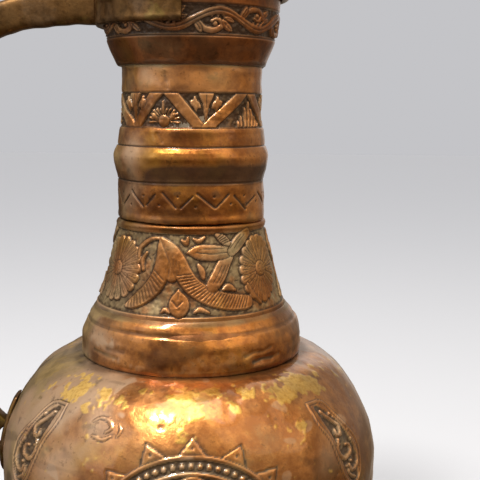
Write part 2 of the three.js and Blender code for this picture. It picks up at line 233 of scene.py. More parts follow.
    def sink(self, points, depth=0.8, edge=0.6, half=None):
        """A sunk patch: a stroke's whole width."""
        path = spline(points, 6)
        where, deep = self.reach(path[:, :2], path[:, 2] if path.shape[1] > 2 else half)
        self.sunk[where] = np.maximum(self.sunk[where], depth * smoothstep(deep / edge + 0.5))

    def bead(self, angle, height, size, crown=0.7):
        """A round boss."""
        self.raised([(angle, height, size), (angle + 0.01, height, size)], crown, fine=0)

    def polar(self, centre, distance, bearing):
        """The (angle, height) at a distance in mm and a bearing in degrees clockwise from up."""
        angle, height = centre
        turn = math.radians(bearing)
        run = np.interp(height, self.height, self.run) + distance * math.cos(turn)
        z = float(np.interp(run, self.run, self.height))
        radius = float(np.interp(run, self.run, self.radius))
        return angle + math.degrees(distance * math.sin(turn) / radius), z

    def leaf(self, root, tip, half, bend=0.0, ribs=0, crown=0.5, middle=True):
        """A pointed leaf from root to tip, bent to one side, with a cut mid-line and ribs."""
        _, ((x0, y0), (x1, y1)) = self.flat([root, tip])
        radius = float(np.interp((root[1] + tip[1]) / 2, self.height, self.radius))
        centre = (root[0] + tip[0]) / 2
        length = math.hypot(x1 - x0, y1 - y0)
        side = np.array([-(y1 - y0), x1 - x0]) / length
        spine = []
        for t in np.linspace(0, 1, 7):
            x, y = np.array([x0 + (x1 - x0) * t, y0 + (y1 - y0) * t]) + side * bend * 4 * t * (1 - t)
            width = half * (math.sin(math.pi * min(1, 0.12 + 0.88 * t)) ** 0.8) + 0.12
            spine.append((x, y, width))
        spine = np.array(spine)
        heights = np.interp(spine[:, 1], self.run, self.height)
        angles = centre + np.degrees(spine[:, 0] / radius)
        self.raised(np.column_stack([angles, heights, spine[:, 2]]), crown)
        if middle:
            self.engraved(np.column_stack([angles, heights])[1:-1], 0.4, 0.4)
        for k in range(ribs):
            t = 0.25 + 0.55 * k / max(1, ribs - 1)
            x, y = (np.interp(t, np.linspace(0, 1, 7), spine[:, i]) for i in (0, 1))
            width = float(np.interp(t, np.linspace(0, 1, 7), spine[:, 2]))
            lead = np.array([x1 - x0, y1 - y0]) / length
            for hand in (-1, 1):
                ex, ey = np.array([x, y]) + hand * side * width * 0.85 + lead * width * 0.7
                ends = np.array([[x, y], [ex, ey]])
                self.engraved(np.column_stack([
                    centre + np.degrees(ends[:, 0] / radius),
                    np.interp(ends[:, 1], self.run, self.height)]), 0.3, 0.3, fine=0)

    def height_field(self, matting=0.22):
        """Everything put together, in mm above the plain outline."""
        crumbs = np.clip(self.noise(0.55, 1) * 0.6 + self.noise(1.1, 2) * 0.5, -1.2, 1.4)
        bare = np.clip(self.sunk / 0.6, 0, 1) * (1 - self.figure)
        dull = 0.06 * self.noise(0.8, 4) * smoothstep(self.sunk / 0.4) * self.figure
        return (self.lift - self.sunk * (1 - self.figure) + self.dome - self.cut + dull
                + matting * crumbs * bare + 0.12 * self.braze)

    def surfaces(self, field, tarnish=0.0):
        """How much patina, brass, rubbed metal, pale haze with painted sheen, and dark dirt with painted
        shade shows at each place.
        """
        hollow = soften(field, self.spacing, 1.0) - field
        wide_hollow = soften(field, self.spacing, 3.2) - field
        bare = np.clip(self.sunk / 0.6, 0, 1) * (1 - self.figure)
        worked = smoothstep(self.sunk / 0.4)
        cloud, fleck = self.noise(6, 3), self.noise(1.4, 5)
        patina = (bare * (0.62 + 0.14 * cloud + 0.12 * fleck) + tarnish + self.stain
                  + 0.30 * worked * (1 - bare) * np.clip(0.35 + 0.7 * cloud, 0, 1)
                  + 0.3 * np.clip(self.cut / 0.35, 0, 1) + 0.1 * np.clip(cloud, 0, 2))
        wear = np.clip(-2.6 * (hollow + 0.04), 0, 1) * np.clip(0.75 + 0.4 * cloud, 0, 1)
        # Dark brown in the cut lines and the hollows of the relief, found like ambient occlusion: partly
        # dirt, partly painted shade in the recesses; the sunk ground and the darkened joints and undersides
        # add in too.
        grime_and_shade = (0.85 * smoothstep(self.cut / 0.4) * np.clip(0.8 + 0.3 * cloud, 0.3, 1)
                 + 3.0 * np.clip(hollow - 0.04, 0, 1) + 0.9 * np.clip(wide_hollow - 0.12, 0, 1)
                 + self.ground_grime_and_shade * bare * np.clip(1.0 - 0.12 * fleck + 0.15 * cloud, 0.7, 1.3) + self.soot)
        return {"patina": np.clip(patina, 0, 1), "braze": np.clip(self.braze, 0, 1),
                "wear": np.clip(wear, 0, 1), "grime_and_shade": np.clip(grime_and_shade, 0, 1), "film": np.clip(self.film, 0, 1)}

    def make(self, name, rest, tarnish=0.0, field=None):
        field = self.height_field() if field is None else field
        layers = self.surfaces(field, tarnish)
        normals = outward(self.profile)
        radius = self.radius[:, None] + field * normals[:, :1]
        height = self.height[:, None] + field * normals[:, 1:]
        rest = np.array(rest, float)
        extra = (len(rest), self.shape[1])
        radius = np.vstack([radius, np.broadcast_to(rest[:, :1], extra)])
        height = np.vstack([height, np.broadcast_to(rest[:, 1:], extra)])
        turn = np.radians(self.angle)[None, :]
        points = np.dstack([radius * np.sin(turn), -radius * np.cos(turn), height])
        layers = {key: np.vstack([values, np.full(extra, 0.25 if key == "patina" else 0.0)])
                  for key, values in layers.items()}
        return grid_object(name, points, layers, second_from=len(self.profile))


# ---------------------------------------------------------------- meshes
def make_object(name, vertices, loops, sizes, uv=None, second=None, layers=None):
    mesh = bpy.data.meshes.new(name)
    mesh.vertices.add(len(vertices))
    mesh.vertices.foreach_set("co", np.asarray(vertices, np.float32).ravel() * MM)
    mesh.loops.add(len(loops))
    mesh.loops.foreach_set("vertex_index", np.asarray(loops, np.int32))
    mesh.polygons.add(len(sizes))
    starts = np.concatenate([[0], np.cumsum(sizes)[:-1]]).astype(np.int32)
    mesh.polygons.foreach_set("loop_start", starts)
    if uv is not None:
        layer = mesh.uv_layers.new(name="OFBake")
        layer.data.foreach_set("uv", np.asarray(uv, np.float32).ravel())
    mesh.update(calc_edges=True)
    mesh.validate()
    mesh.polygons.foreach_set("use_smooth", np.ones(len(sizes), bool))
    if second is not None:
        mesh.polygons.foreach_set("material_index", np.asarray(second, np.int32))
    for key, values in (layers or {}).items():
        attribute = mesh.attributes.new(key, "FLOAT", "POINT")
        attribute.data.foreach_set("value", np.asarray(values, np.float32).ravel())
    piece = bpy.data.objects.new(name, mesh)
    bpy.context.scene.collection.objects.link(piece)
    return piece


def grid_object(name, points, layers=None, second_from=None, closed_rows=True):
    """A mesh of quads over points[row, column], closed round its columns and, for a wall, over its rows."""
    rows, columns = points.shape[:2]
    lines = rows if closed_rows else rows - 1
    i = np.repeat(np.arange(lines), columns)
    j = np.tile(np.arange(columns), lines)
    up, over = (i + 1) % rows, (j + 1) % columns
    loops = np.column_stack([i * columns + j, i * columns + over, up * columns + over, up * columns + j])
    u = np.column_stack([j, j + 1, j + 1, j]) / columns
    v = np.column_stack([i, i, i + 1, i + 1]) / lines
    second = None
    if second_from is not None:
        second = (i >= second_from - 1).astype(np.int32)
    return make_object(name, points.reshape(-1, 3), loops.ravel(), np.full(len(loops), 4),
                       np.dstack([u, v]).reshape(-1, 2), second, layers)


def capped(name, rings, layers=None):
    """A tube through rings[station, point], closed at both ends by a fan."""
    stations, count = rings.shape[:2]
    i = np.repeat(np.arange(stations - 1), count)
    j = np.tile(np.arange(count), stations - 1)
    over = (j + 1) % count
    quads = np.column_stack([i * count + j, i * count + over, (i + 1) * count + over, (i + 1) * count + j])
    u = np.column_stack([j, j + 1, j + 1, j]) / count
    v = 0.05 + 0.9 * np.column_stack([i, i, i + 1, i + 1]) / (stations - 1)
    total = stations * count
    k = np.arange(count)
    nxt = (k + 1) % count
    first = np.column_stack([np.full(count, total), nxt, k])
    last = np.column_stack([np.full(count, total + 1), (stations - 1) * count + k,
                            (stations - 1) * count + nxt])
    u_cap = np.column_stack([(k + 0.5) / count, (k + 1) / count, k / count])
    v_first = np.column_stack([k * 0, k * 0 + 0.05, k * 0 + 0.05])
    v_last = np.column_stack([k * 0 + 1, k * 0 + 0.95, k * 0 + 0.95])
    u_last = np.column_stack([(k + 0.5) / count, k / count, (k + 1) / count])
    uv = np.vstack([np.dstack([u, v]).reshape(-1, 2), np.dstack([u_cap, v_first]).reshape(-1, 2),
                    np.dstack([u_last, v_last]).reshape(-1, 2)])
    loops = np.concatenate([quads.ravel(), first.ravel(), last.ravel()])
    sizes = np.concatenate([np.full(len(quads), 4), np.full(2 * count, 3)])
    vertices = np.vstack([rings.reshape(-1, 3), rings[0].mean(0), rings[-1].mean(0)])
    if layers:
        layers = {key: np.concatenate([np.ravel(value), [0.3, 0.3]]) for key, value in layers.items()}
    return make_object(name, vertices, loops, sizes, uv, None, layers)


def turned_solid(outline, columns=48, seed=0, rough=0.0):
    """Points of a small turned solid about its own Z, with a slightly uneven surface."""
    outline = np.array(outline, float)
    turn = np.linspace(0, 2 * math.pi, columns, endpoint=False)[None, :]
    radius = np.broadcast_to(outline[:, :1], (len(outline), columns)).copy()
    height = np.broadcast_to(outline[:, 1:], radius.shape).copy()
    if rough:
        bumps = noise(radius.shape, (1, 1), 2.2, seed)
        radius = radius * (1 + rough * 0.05 * bumps)
        height = height + rough * 0.12 * bumps * (outline[:, :1] > 0.2)
    return np.dstack([radius * np.sin(turn), -radius * np.cos(turn), height])


# ---------------------------------------------------------------- materials
def linear(r, g, b):
    """A colour given in sRGB steps of 255, as linear values."""
    part = [c / 255 for c in (r, g, b)]
    return tuple(c / 12.92 if c <= 0.04045 else ((c + 0.055) / 1.055) ** 2.4 for c in part) + (1.0,)


class Finish:
    """A metal material: noise-driven colour and roughness, with patina, braze and rubbed-edge layers, and a
    dark and a pale layer that also carry painted shade and painted sheen.
    """

    def __init__(self, name, light, dark, roughness=0.3, patina=(112, 92, 56), rub=(226, 176, 128),
                 brass=(224, 182, 92), pits=0.12, cloud=9.0, bump=0.25, patina_metal=0.45, haze=0.3,
                 coat=0.35,
                 pools=0.55):
        self.material = bpy.data.materials.new(name)
        self.material.use_nodes = True
        self.tree = self.material.node_tree
        self.tree.nodes.clear()
        out = self.node("ShaderNodeOutputMaterial")
        self.shader = self.node("ShaderNodeBsdfPrincipled")
        self.tree.links.new(self.shader.outputs[0], out.inputs[0])
        place = self.node("ShaderNodeTexCoord").outputs["Object"]
        big = self.noise(place, cloud, 5, 0.6)
        middle = self.noise(place, cloud * 6, 4, 0.65)
        fine = self.noise(place, 420, 3, 0.6)
        grain = self.noise(place, 1500, 2, 0.5)
        patina_at = self.attribute("patina")
        braze_at = self.attribute("braze")
        wear_at = self.attribute("wear")
        grime_and_shade_at = self.attribute("grime_and_shade")

        small = self.noise(place, 170, 4, 0.6)
        tone = self.math("ADD", self.math("MULTIPLY", big, 0.40), self.math("MULTIPLY", middle, 0.30))
        tone = self.math("ADD", tone, self.math("MULTIPLY", small, 0.30))
        tone = self.ramp(tone, [(0.41, 0.0), (0.59, 1.0)])
        colour = self.mix(tone, linear(*dark), linear(*light))
        yellow = self.ramp(self.noise(place, cloud * 2.3, 4, 0.6), [(0.52, 0.0), (0.68, 0.55)])
        colour = self.mix(yellow, colour, linear(light[0] - 8, min(255, light[1] + 14), max(0, light[2] - 4)))
        pool = self.ramp(self.noise(place, cloud * 2.9, 6, 0.55), [(0.53, 0.0), (0.59, pools)])
        colour = self.mix(pool, colour, linear(*(c * 0.66 for c in dark)))
        # Pale haze: random dull film, together with a painted sheen that the pieces lay on their left side.
        film_at = self.math("ADD", self.attribute("film"),
                            self.math("MULTIPLY", self.math("SUBTRACT", middle, 0.5), 0.5))
        film = self.math("ADD", self.math("MULTIPLY", self.ramp(big, [(0.46, 0.0), (0.66, 1.0)]), haze),
                         self.ramp(film_at, [(0.12, 0.0), (0.95, 0.85)]))
        film = self.math("MINIMUM", film, 0.9)
        colour = self.mix(film, colour, linear(176, 146, 116))
        spots = self.ramp(middle, [(0.58, 0.0), (0.72, 1.0)])
        colour = self.mix(self.math("MULTIPLY", spots, pits * 2.0), colour,
                          linear(*(c * 0.62 for c in patina)))
        specks = self.ramp(self.math("MULTIPLY", self.math("ADD", fine, small), 0.5),
                           [(0.55, 0.0), (0.66, 1.0)])
        colour = self.mix(self.math("MULTIPLY", specks, pits * 1.8), colour, linear(52, 32, 16))
        mottle = self.ramp(fine, [(0.40, 0.0), (0.66, 1.0)])
        brassy = self.mix(mottle, linear(*brass), linear(*(c * f for c, f in zip(brass, (0.88, 0.83, 0.68)))))
        colour = self.mix(self.math("MULTIPLY", braze_at, 0.92), colour, brassy)
        old = self.mix(self.ramp(middle, [(0.36, 0.0), (0.66, 1.0)]), linear(*patina),
                       linear(*(min(255, c * 1.32 + 8) for c in patina)))
        edge = self.math("ADD", patina_at, self.math("MULTIPLY", self.math("SUBTRACT", middle, 0.5), 0.6))
        cover = self.ramp(edge, [(0.16, 0.0), (0.80, 0.9)])
        colour = self.mix(cover, colour, old)
        colour = self.mix(self.math("MULTIPLY", wear_at, 0.5), colour, linear(*rub))
        # Dark brown over cuts, hollows, sunk ground, joints and undersides: partly dirt, partly painted
        # shade.
        colour = self.mix(self.math("MULTIPLY", grime_and_shade_at, 0.88), colour, linear(50, 28, 13))
        self.tree.links.new(colour, self.shader.inputs["Base Color"])

        metal = self.mix_value(cover, 1.0, patina_metal)
        metal = self.mix_value(self.math("MULTIPLY", film, 0.9), metal, 0.4)
        metal = self.mix_value(self.math("MULTIPLY", grime_and_shade_at, 0.8), metal, 0.55)
        self.tree.links.new(metal, self.shader.inputs["Metallic"])
        rough = self.math("ADD", roughness - 0.11, self.math("MULTIPLY", fine, 0.10))
        rough = self.math("ADD", rough, self.math("MULTIPLY", middle, 0.12))
        rough = self.mix_value(cover, rough, 0.58)
        rough = self.mix_value(film, rough, 0.5)
        rough = self.mix_value(grime_and_shade_at, rough, 0.52)
        self.tree.links.new(rough, self.shader.inputs["Roughness"])
        self.shader.inputs["Coat Weight"].default_value = coat
        self.shader.inputs["Coat Roughness"].default_value = 0.11

        relief = self.math("ADD", self.math("MULTIPLY", middle, 0.7), self.math("MULTIPLY", fine, 0.34))
        relief = self.math("ADD", relief, self.math("MULTIPLY", small, 0.55))
        relief = self.math("ADD", relief, self.math("MULTIPLY", grain, 0.08))
        bumps = self.node("ShaderNodeBump")
        bumps.inputs["Strength"].default_value = bump
        bumps.inputs["Distance"].default_value = 0.0012
        self.tree.links.new(relief, bumps.inputs["Height"])
        self.tree.links.new(bumps.outputs[0], self.shader.inputs["Normal"])

    def node(self, kind):
        return self.tree.nodes.new(kind)

    def noise(self, place, scale, detail, rough):
        node = self.node("ShaderNodeTexNoise")
        node.inputs["Scale"].default_value = scale
        node.inputs["Detail"].default_value = detail
        node.inputs["Roughness"].default_value = rough
        self.tree.links.new(place, node.inputs["Vector"])
        return node.outputs[0]

    def attribute(self, name):
        node = self.node("ShaderNodeAttribute")
        node.attribute_name = name
        return node.outputs["Fac"]

    def put(self, value, socket):
        if isinstance(value, bpy.types.NodeSocket):
            self.tree.links.new(value, socket)
        else:
            socket.default_value = value

    def math(self, operation, a, b):
        node = self.node("ShaderNodeMath")
        node.operation = operation
        self.put(a, node.inputs[0])
        self.put(b, node.inputs[1])
        return node.outputs[0]

    def mix(self, factor, a, b):
        node = self.node("ShaderNodeMix")
        node.data_type = "RGBA"
        self.put(factor, node.inputs[0])
        self.put(a, node.inputs[6])
        self.put(b, node.inputs[7])
        return node.outputs[2]

    def mix_value(self, factor, a, b):
        node = self.node("ShaderNodeMix")
        self.put(factor, node.inputs[0])
        self.put(a, node.inputs[2])
        self.put(b, node.inputs[3])
        return node.outputs[0]

    def ramp(self, value, stops):
        (a, low), (b, high) = stops
        node = self.node("ShaderNodeMapRange")
        node.interpolation_type = "SMOOTHSTEP"
        self.put(value, node.inputs[0])
        for socket, number in zip(node.inputs[1:5], (a, b, low, high)):
            socket.default_value = number
        return node.outputs[0]


BODY_COPPER = Finish("body_copper", (208, 142, 76), (158, 98, 46), 0.31, pits=0.24, haze=0.4,
                     coat=0.9).material
COPPER = Finish("neck_copper", (206, 134, 62), (138, 80, 35), 0.32, pits=0.26, haze=0.3, coat=0.45).material
FLARE_COPPER = Finish("flare_copper", (182, 118, 62), (138, 86, 42), 0.44, patina=(106, 90, 60), pits=0.3,
                      haze=0.3, coat=0.15).material
# Painted shade: the cup's copper is darker than the neck's, as the cup lies in shade.
SHADED_CUP_COPPER = Finish("cup_copper_painted_shade", (168, 100, 48), (100, 54, 24), 0.35, patina=(84, 66, 40), pits=0.3,
                    haze=0.15).material
OLD_COPPER = Finish("old_copper", (160, 100, 56), (112, 66, 36), 0.42, pits=0.25).material
TINNED = Finish("tinned_inside", (168, 160, 146), (120, 110, 96), 0.42, patina=(84, 78, 64),
                pits=0.2).material
BRASS = Finish("cast_brass_skin", (122, 88, 50), (78, 54, 28), 0.47, patina=(66, 48, 28),
               rub=(176, 140, 92), pits=0.3, cloud=26, haze=0.05, coat=0.12, pools=0.3).material
RIVET = Finish("rivet_copper_skin", (176, 112, 66), (126, 76, 42), 0.36, pits=0.2).material
IRON = Finish("iron_skin", (98, 90, 82), (62, 52, 44), 0.55, patina=(70, 44, 28), pits=0.35,
              haze=0.1).material


def finish(piece, materials, slot, body, *nodes):
    for material in materials:
        piece.data.materials.append(material)
    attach(piece, body)
    if nodes:
        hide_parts(*nodes)
    return piece


# ---------------------------------------------------------------- body
BELLY_Z = 143
SHOULDER_HOLE_RADIUS = 61.9
SHOULDER_TOP_Z = 210.6
MEDALLION_Z = 128.0
MEDALLION_RADIUS = 54.0
body_outline = np.vstack([
    [[61.7, 1.95], [61.7, 11.6]],
    spline([
        [64, 17], [77, 28], [90, 44], [98.4, 58], [107, 82], [113.4, 110], [BELLY_RADIUS, BELLY_Z],
        [114.3, 157.5],
        [110, 172.5], [104, 184.8], [96, 195.3], [88, 202.5], [80, 206.9], [72, 209.3], [66, 210.2],
    ]),
    [[SHOULDER_HOLE_RADIUS, SHOULDER_TOP_Z]],
])


def medallion(skin, angle):
    """A large round medallion: rays outside, a beaded ring, and a rosette of leaves inside."""
    centre, size = (angle, MEDALLION_Z), MEDALLION_RADIUS
    at = lambda distance, bearing: skin.polar(centre, distance, bearing)
    circle = lambda radius, half, count=96: [(*at(radius, 360 * k / count), half) for k in range(count + 1)]
    chance = np.random.default_rng(61 + int(angle))
    for k in range(16):
        bearing = 22.5 * k + 1.0 + chance.uniform(-1.2, 1.2)
        rise = 9.4 + chance.uniform(-0.9, 0.9)
        skin.raised([(*at(size + 1.0, bearing), 6.6), (*at(size + rise, bearing), 0.3)], 0.5, 0.6, fine=0,
                    rim=0.5)
        for hand in (-1, 1):
            skin.engraved([at(size + 1.6, bearing + hand * 7.6), at(size + rise + 0.4, bearing)], 0.5, 0.5,
                          fine=0)
        skin.engraved([at(size + 4.2, bearing), at(size + 4.5, bearing)], 0.9, 0.55, fine=0)
    skin.wipe(*centre, size)
    skin.sink(circle(size - 4.4, 3.0), 0.75, 0.6)
    skin.raised(circle(size - 8.6, 1.0), 0.45, fine=0)
    for k in range(66):
        skin.bead(*at(size - 4.4, 360 * k / 66), 1.5, 0.75)
    skin.raised(circle(size, 1.1), 0.5, fine=0)
    skin.sink(circle(size - 20, 10.4), 0.8, 0.8)
    for k in range(8):
        bearing = 45 * k + 1
        arch = [(*at(size - 10.6 - 13 * (1 - math.sin(math.pi * t)), bearing + 44 * (t - 0.5)), 1.3)
                for t in np.linspace(0.04, 0.96, 9)]
        skin.raised(arch, 0.6)
        skin.leaf(at(size - 30, bearing), at(size - 13.4, bearing), 3.6, ribs=3)
        skin.leaf(at(size - 26, bearing + 22.5), at(size - 11, bearing + 22.5), 2.4, ribs=2)
    for k in range(12):
        skin.leaf(at(8, 30 * k), at(23, 30 * k), 3.0, ribs=2)
    skin.sink([(*at(4, 360 * k / 24), 5.2) for k in range(25)], 0.5, 0.6)
    skin.raised(circle(size - 30.4, 0.9, 60), 0.4, fine=0)
    skin.bead(*at(0, 0), 5.2, 1.2)
    for k in range(8):
        skin.engraved([at(1.0, 45 * k), at(4.4, 45 * k)], 0.4, 0.35, fine=0)


def cartouche(skin, angle, flip=1):
    """A pointed field beside the medallion: raised border, dark ground and two scrolls."""
    put = lambda points: [(angle + flip * (a - 51), *rest) for a, *rest in points]
    outline = [(41.7, 195.8), (49.5, 194.4), (53.8, 183.4), (58.8, 170), (57.9, 155.9), (53.4, 149),
               (49.0, 154.2),
               (46.6, 165.9), (45.0, 177.1), (42.2, 187), (41.7, 195.8)]
    spine = [(45.4, 192.6, 2.2), (48.0, 186, 5.0), (50.6, 176, 6.6), (52.4, 165, 7.8), (53.4, 156, 5.4),
             (53.4, 151.6, 2.2)]
    skin.sink(put(spine), 1.0, 0.7)
    skin.raised([(a, z, 0.95) for a, z in put(outline)], 0.55)
    curls = [
        [(46.0, 191, 1.0), (48.8, 186, 1.2), (51.2, 182, 1.3), (50.4, 177.6, 1.2), (48.4, 178.4, 1.0),
         (48.6, 181, 0.8)],
        [(48.6, 176, 0.9), (47.4, 170.6, 1.2), (49.4, 165.4, 1.3), (53.0, 166.4, 1.3), (53.4, 170.6, 1.0),
         (51.6, 171.6, 0.8)],
        [(55.4, 173, 0.9), (57.0, 166, 1.1), (56.2, 158.8, 1.3), (52.6, 157, 1.2), (51.4, 160.6, 1.0)],
        [(50.2, 160.8, 0.8), (51.0, 155.6, 1.0), (53.4, 152.6, 0.9)],
    ]
    for curl in curls:
        skin.raised(put(curl), 0.6)
        skin.engraved([(a, z) for a, z, _ in put(curl)], 0.28, 0.3)
    for a, z in ((50.0, 188.6), (48.6, 173.2), (55.2, 178.0), (52.6, 162.4), (56.4, 170)):
        skin.bead(*put([(a, z)])[0], 1.1, 0.5)


def curl_mark(skin, angle, height, flip=1):
    """A small chased curl, like a curled leaf."""
    put = lambda points: [(angle + flip * a, height + z, w) for a, z, w in points]
    for stroke in (
        [(-4.6, 2.4, 0.5), (-2.4, 4.6, 0.9), (0.8, 4.0, 1.2), (2.2, 1.2, 1.1), (0.6, -1.0, 0.8)],
        [(2.8, -2.0, 0.6), (0.2, -4.2, 1.1), (-3.2, -3.4, 0.8)],
        [(4.4, 3.2, 0.5), (5.4, 0.6, 0.9), (4.6, -2.4, 0.5)],
    ):
        skin.raised(put(stroke), 0.35, rim=0.16)


def braze_zone(skin, ragged, fine):
    """Brass left by the solder round the shoulder: a ragged band under the collar, with larger runs."""
    band = smoothstep((skin.height - 192) / 9)[:, None] * smoothstep((209.5 - skin.height) / 2.5)[:, None]
    zone = (ragged * 0.6 + 0.42 + 0.5 * skin.noise(19, 18)) * band
    for a, z, size in ((-43, 203, 9), (-33, 203, 8), (-24, 201, 8), (-17, 205.5, 6), (-7.8, 197, 8),
                       (-3.3, 190, 6),
                       (5.6, 205, 8), (12, 204, 8), (19.6, 205, 7), (28, 203, 8), (28.5, 189.5, 8),
                       (35.7, 189, 5),
                       (24, 196, 6), (38, 203, 7), (96, 190, 9), (118, 199, 8), (160, 194, 8), (204, 198, 9),
                       (238, 190, 8)):
        where, deep = skin.reach([(a, z), (a + 0.02, z)], size)
        zone[where] = np.maximum(zone[where], 0.8 * smoothstep(deep / size * 1.7) + 0.3 * ragged[where] - 0.1)
    return smoothstep((zone + 0.22 * fine - 0.42) / 0.30) * 0.92


def build_body():
    skin = Chased(body_outline, 0.75, 880, 1)
    for angle in (0, 180):
        medallion(skin, angle)
    for angle, flip in ((51, 1), (-54, -1), (129, -1), (-129, 1)):
        cartouche(skin, angle, flip)
    for angle, flip in ((-26.8, 1), (153, 1), (-153, -1)):
        curl_mark(skin, angle, 189.4, flip)
    for z in (27, 30):
        skin.ring(z, 0.6, 0.4)
    for k in range(44):
        angle = 360 * k / 44
        skin.engraved([(angle - 3.7, 33), (angle, 43), (angle + 3.7, 33)], 0.5, 0.35, fine=0)
        skin.engraved([(angle, 35.5), (angle + 0.2, 35.6)], 0.8, 0.35, fine=0)
    skin.lift += 0.34 * skin.noise(8, 10) + 0.55 * skin.noise(24, 11) + 0.07 * skin.noise(2.6, 12)
    dings = np.random.default_rng(77)
    for _ in range(60):
        a, z, size = dings.uniform(-180, 180), dings.uniform(60, 204), dings.uniform(1.2, 3.2)
        skin.dent([(a, z), (a + dings.uniform(0, 2), z)], size, 0.3, 0.25)
    skin.lift *= (smoothstep((skin.height - 13) / 6)[:, None]
                  * smoothstep((210.4 - skin.height) / 1.2)[:, None])
    ragged, fine = 0.7 * skin.noise(2.4, 13) + 0.75 * skin.noise(6.5, 14), skin.noise(0.9, 17)
    skin.braze = braze_zone(skin, ragged, fine)
    skin.ground_grime_and_shade = 0.6
    # Painted sheen: a pale haze on the left side, over random pale patches and spots.
    skin.film = (1.0 * skin.side(-10, 34) * (0.8 + 0.35 * skin.noise(9, 19))
                 + 0.3 * np.clip(skin.noise(12, 20), 0, 2)
                 + 0.5 * smoothstep((skin.noise(3.4, 21) - 1.35) / 0.5))
    # Painted shade: the far left side turned darker olive.
    skin.stain += 0.45 * skin.side(-48, 22) * np.clip(0.8 + 0.5 * skin.noise(7, 26), 0, 1.4)
    # Darker along the top where the collar sits, partly dirt in the joint and partly painted shade; random
    # dark patches, stronger on the left as painted shade; a few dark streaks.
    skin.soot = (0.7 * smoothstep((skin.height - 208.2) / 1.6)[:, None]
                 * np.clip(0.9 + 0.4 * skin.noise(4, 22), 0, 1)
                 + 0.4 * smoothstep((skin.noise(5, 27) - 1.3) / 0.8) * (0.4 + skin.side(-8, 30))
                 + 0.3 * smoothstep((skin.streaks(2.2, 23, 3) - 1.5) / 0.5))
    skin.stain += 0.14 * np.clip(skin.noise(15, 15), 0, 2) + 0.08 * np.clip(skin.noise(4, 16), 0, 2)
    piece = skin.make("body_skin", inside_of(skin.profile, SHEET))
    finish(piece, (BODY_COPPER, TINNED), "copper", "jug", "lower_body", "upper_body")


def build_foot():
    outline = spline([[68.4, 0.1], [69.1, 1.2], [69.2, 3.2], [68.6, 5.0], [66.4, 6.8], [64.6, 8.8],
                      [64.2, 10.4],
                      [64.2, 12.5]])
    skin = Chased(outline, 0.5, 420, 3)
    skin.lift += 0.12 * skin.noise(5, 10) + 0.15 * skin.noise(14, 11)
    skin.lift *= smoothstep(skin.run / 1.5)[:, None]
    finish(skin.make("foot_ring_skin", [[62.2, 12.5], [62.2, 6], [62.2, 0]], 0.2), (OLD_COPPER, OLD_COPPER),
           "dark_copper", "jug", "foot_ring")


# ---------------------------------------------------------------- neck
def daisy(skin, centre, size, narrow=1.0, tilt=0.0, petals=19):
    """A large flower: radial petals with chisel lines on and between them, and a seeded boss."""
    def at(distance, bearing):
        turn, lean = math.radians(bearing), math.radians(tilt)
        x, y = distance * math.sin(turn) * narrow, distance * math.cos(turn)
        x, y = x * math.cos(lean) + y * math.sin(lean), y * math.cos(lean) - x * math.sin(lean)
        return skin.polar(centre, math.hypot(x, y), math.degrees(math.atan2(x, y)))

    for k in range(petals):
        bearing = 360 * (k + 0.5) / petals
        skin.raised([(*at(size * 0.25, bearing), 1.0), (*at(size * 0.6, bearing), size * 0.11),
                     (*at(size * 0.85, bearing), size * 0.145)], 0.3, 0.5)
        skin.engraved([at(size * 0.36, bearing), at(size * 0.9, bearing)], 0.32, 0.32, fine=0)
        for side in (-6, 6):
            skin.engraved([at(size * 0.55, bearing + side * 0.7), at(size * 0.92, bearing + side)], 0.26,
                          0.25, fine=0)
    skin.bead(*centre, size * 0.22, 0.9)
    for k in range(9):
        seed = at(size * 0.13, 40 * k)
        skin.engraved([seed, (seed[0] + 0.2, seed[1])], 0.5, 0.4, fine=0)


def hatch(skin, spine, half, count, lean=0.0, depth=0.35):
    """Slanted chisel marks across a stroke."""
    path = spline([(*p[:2],) for p in spine], 8)
    centre, line = skin.flat(path)
    run = np.concatenate([[0], np.cumsum(np.hypot(*np.diff(line, axis=0).T))])
    for k in range(count):
        s = run[-1] * (k + 0.7) / (count + 0.4)
        x, y = np.interp(s, run, line[:, 0]), np.interp(s, run, line[:, 1])
        dx = np.interp(s + 0.5, run, line[:, 0]) - np.interp(s - 0.5, run, line[:, 0])
        dy = np.interp(s + 0.5, run, line[:, 1]) - np.interp(s - 0.5, run, line[:, 1])
        length = math.hypot(dx, dy) + 1e-9
        along, side = np.array([dx, dy]) / length, np.array([-dy, dx]) / length
        width = half if np.isscalar(half) else float(np.interp(s / run[-1], np.linspace(0, 1, len(half)),
                                                               half))
        ends = [np.array([x, y]) + hand * (side * width * 0.82 + along * lean * width) for hand in (-1, 1)]
        z = [float(np.interp(e[1], skin.run, skin.height)) for e in ends]
        r = [float(np.interp(e[1], skin.run, skin.radius)) for e in ends]
        skin.engraved([(centre + math.degrees(e[0] / q), h) for e, q, h in zip(ends, r, z)], 0.38, depth,
                      fine=0)


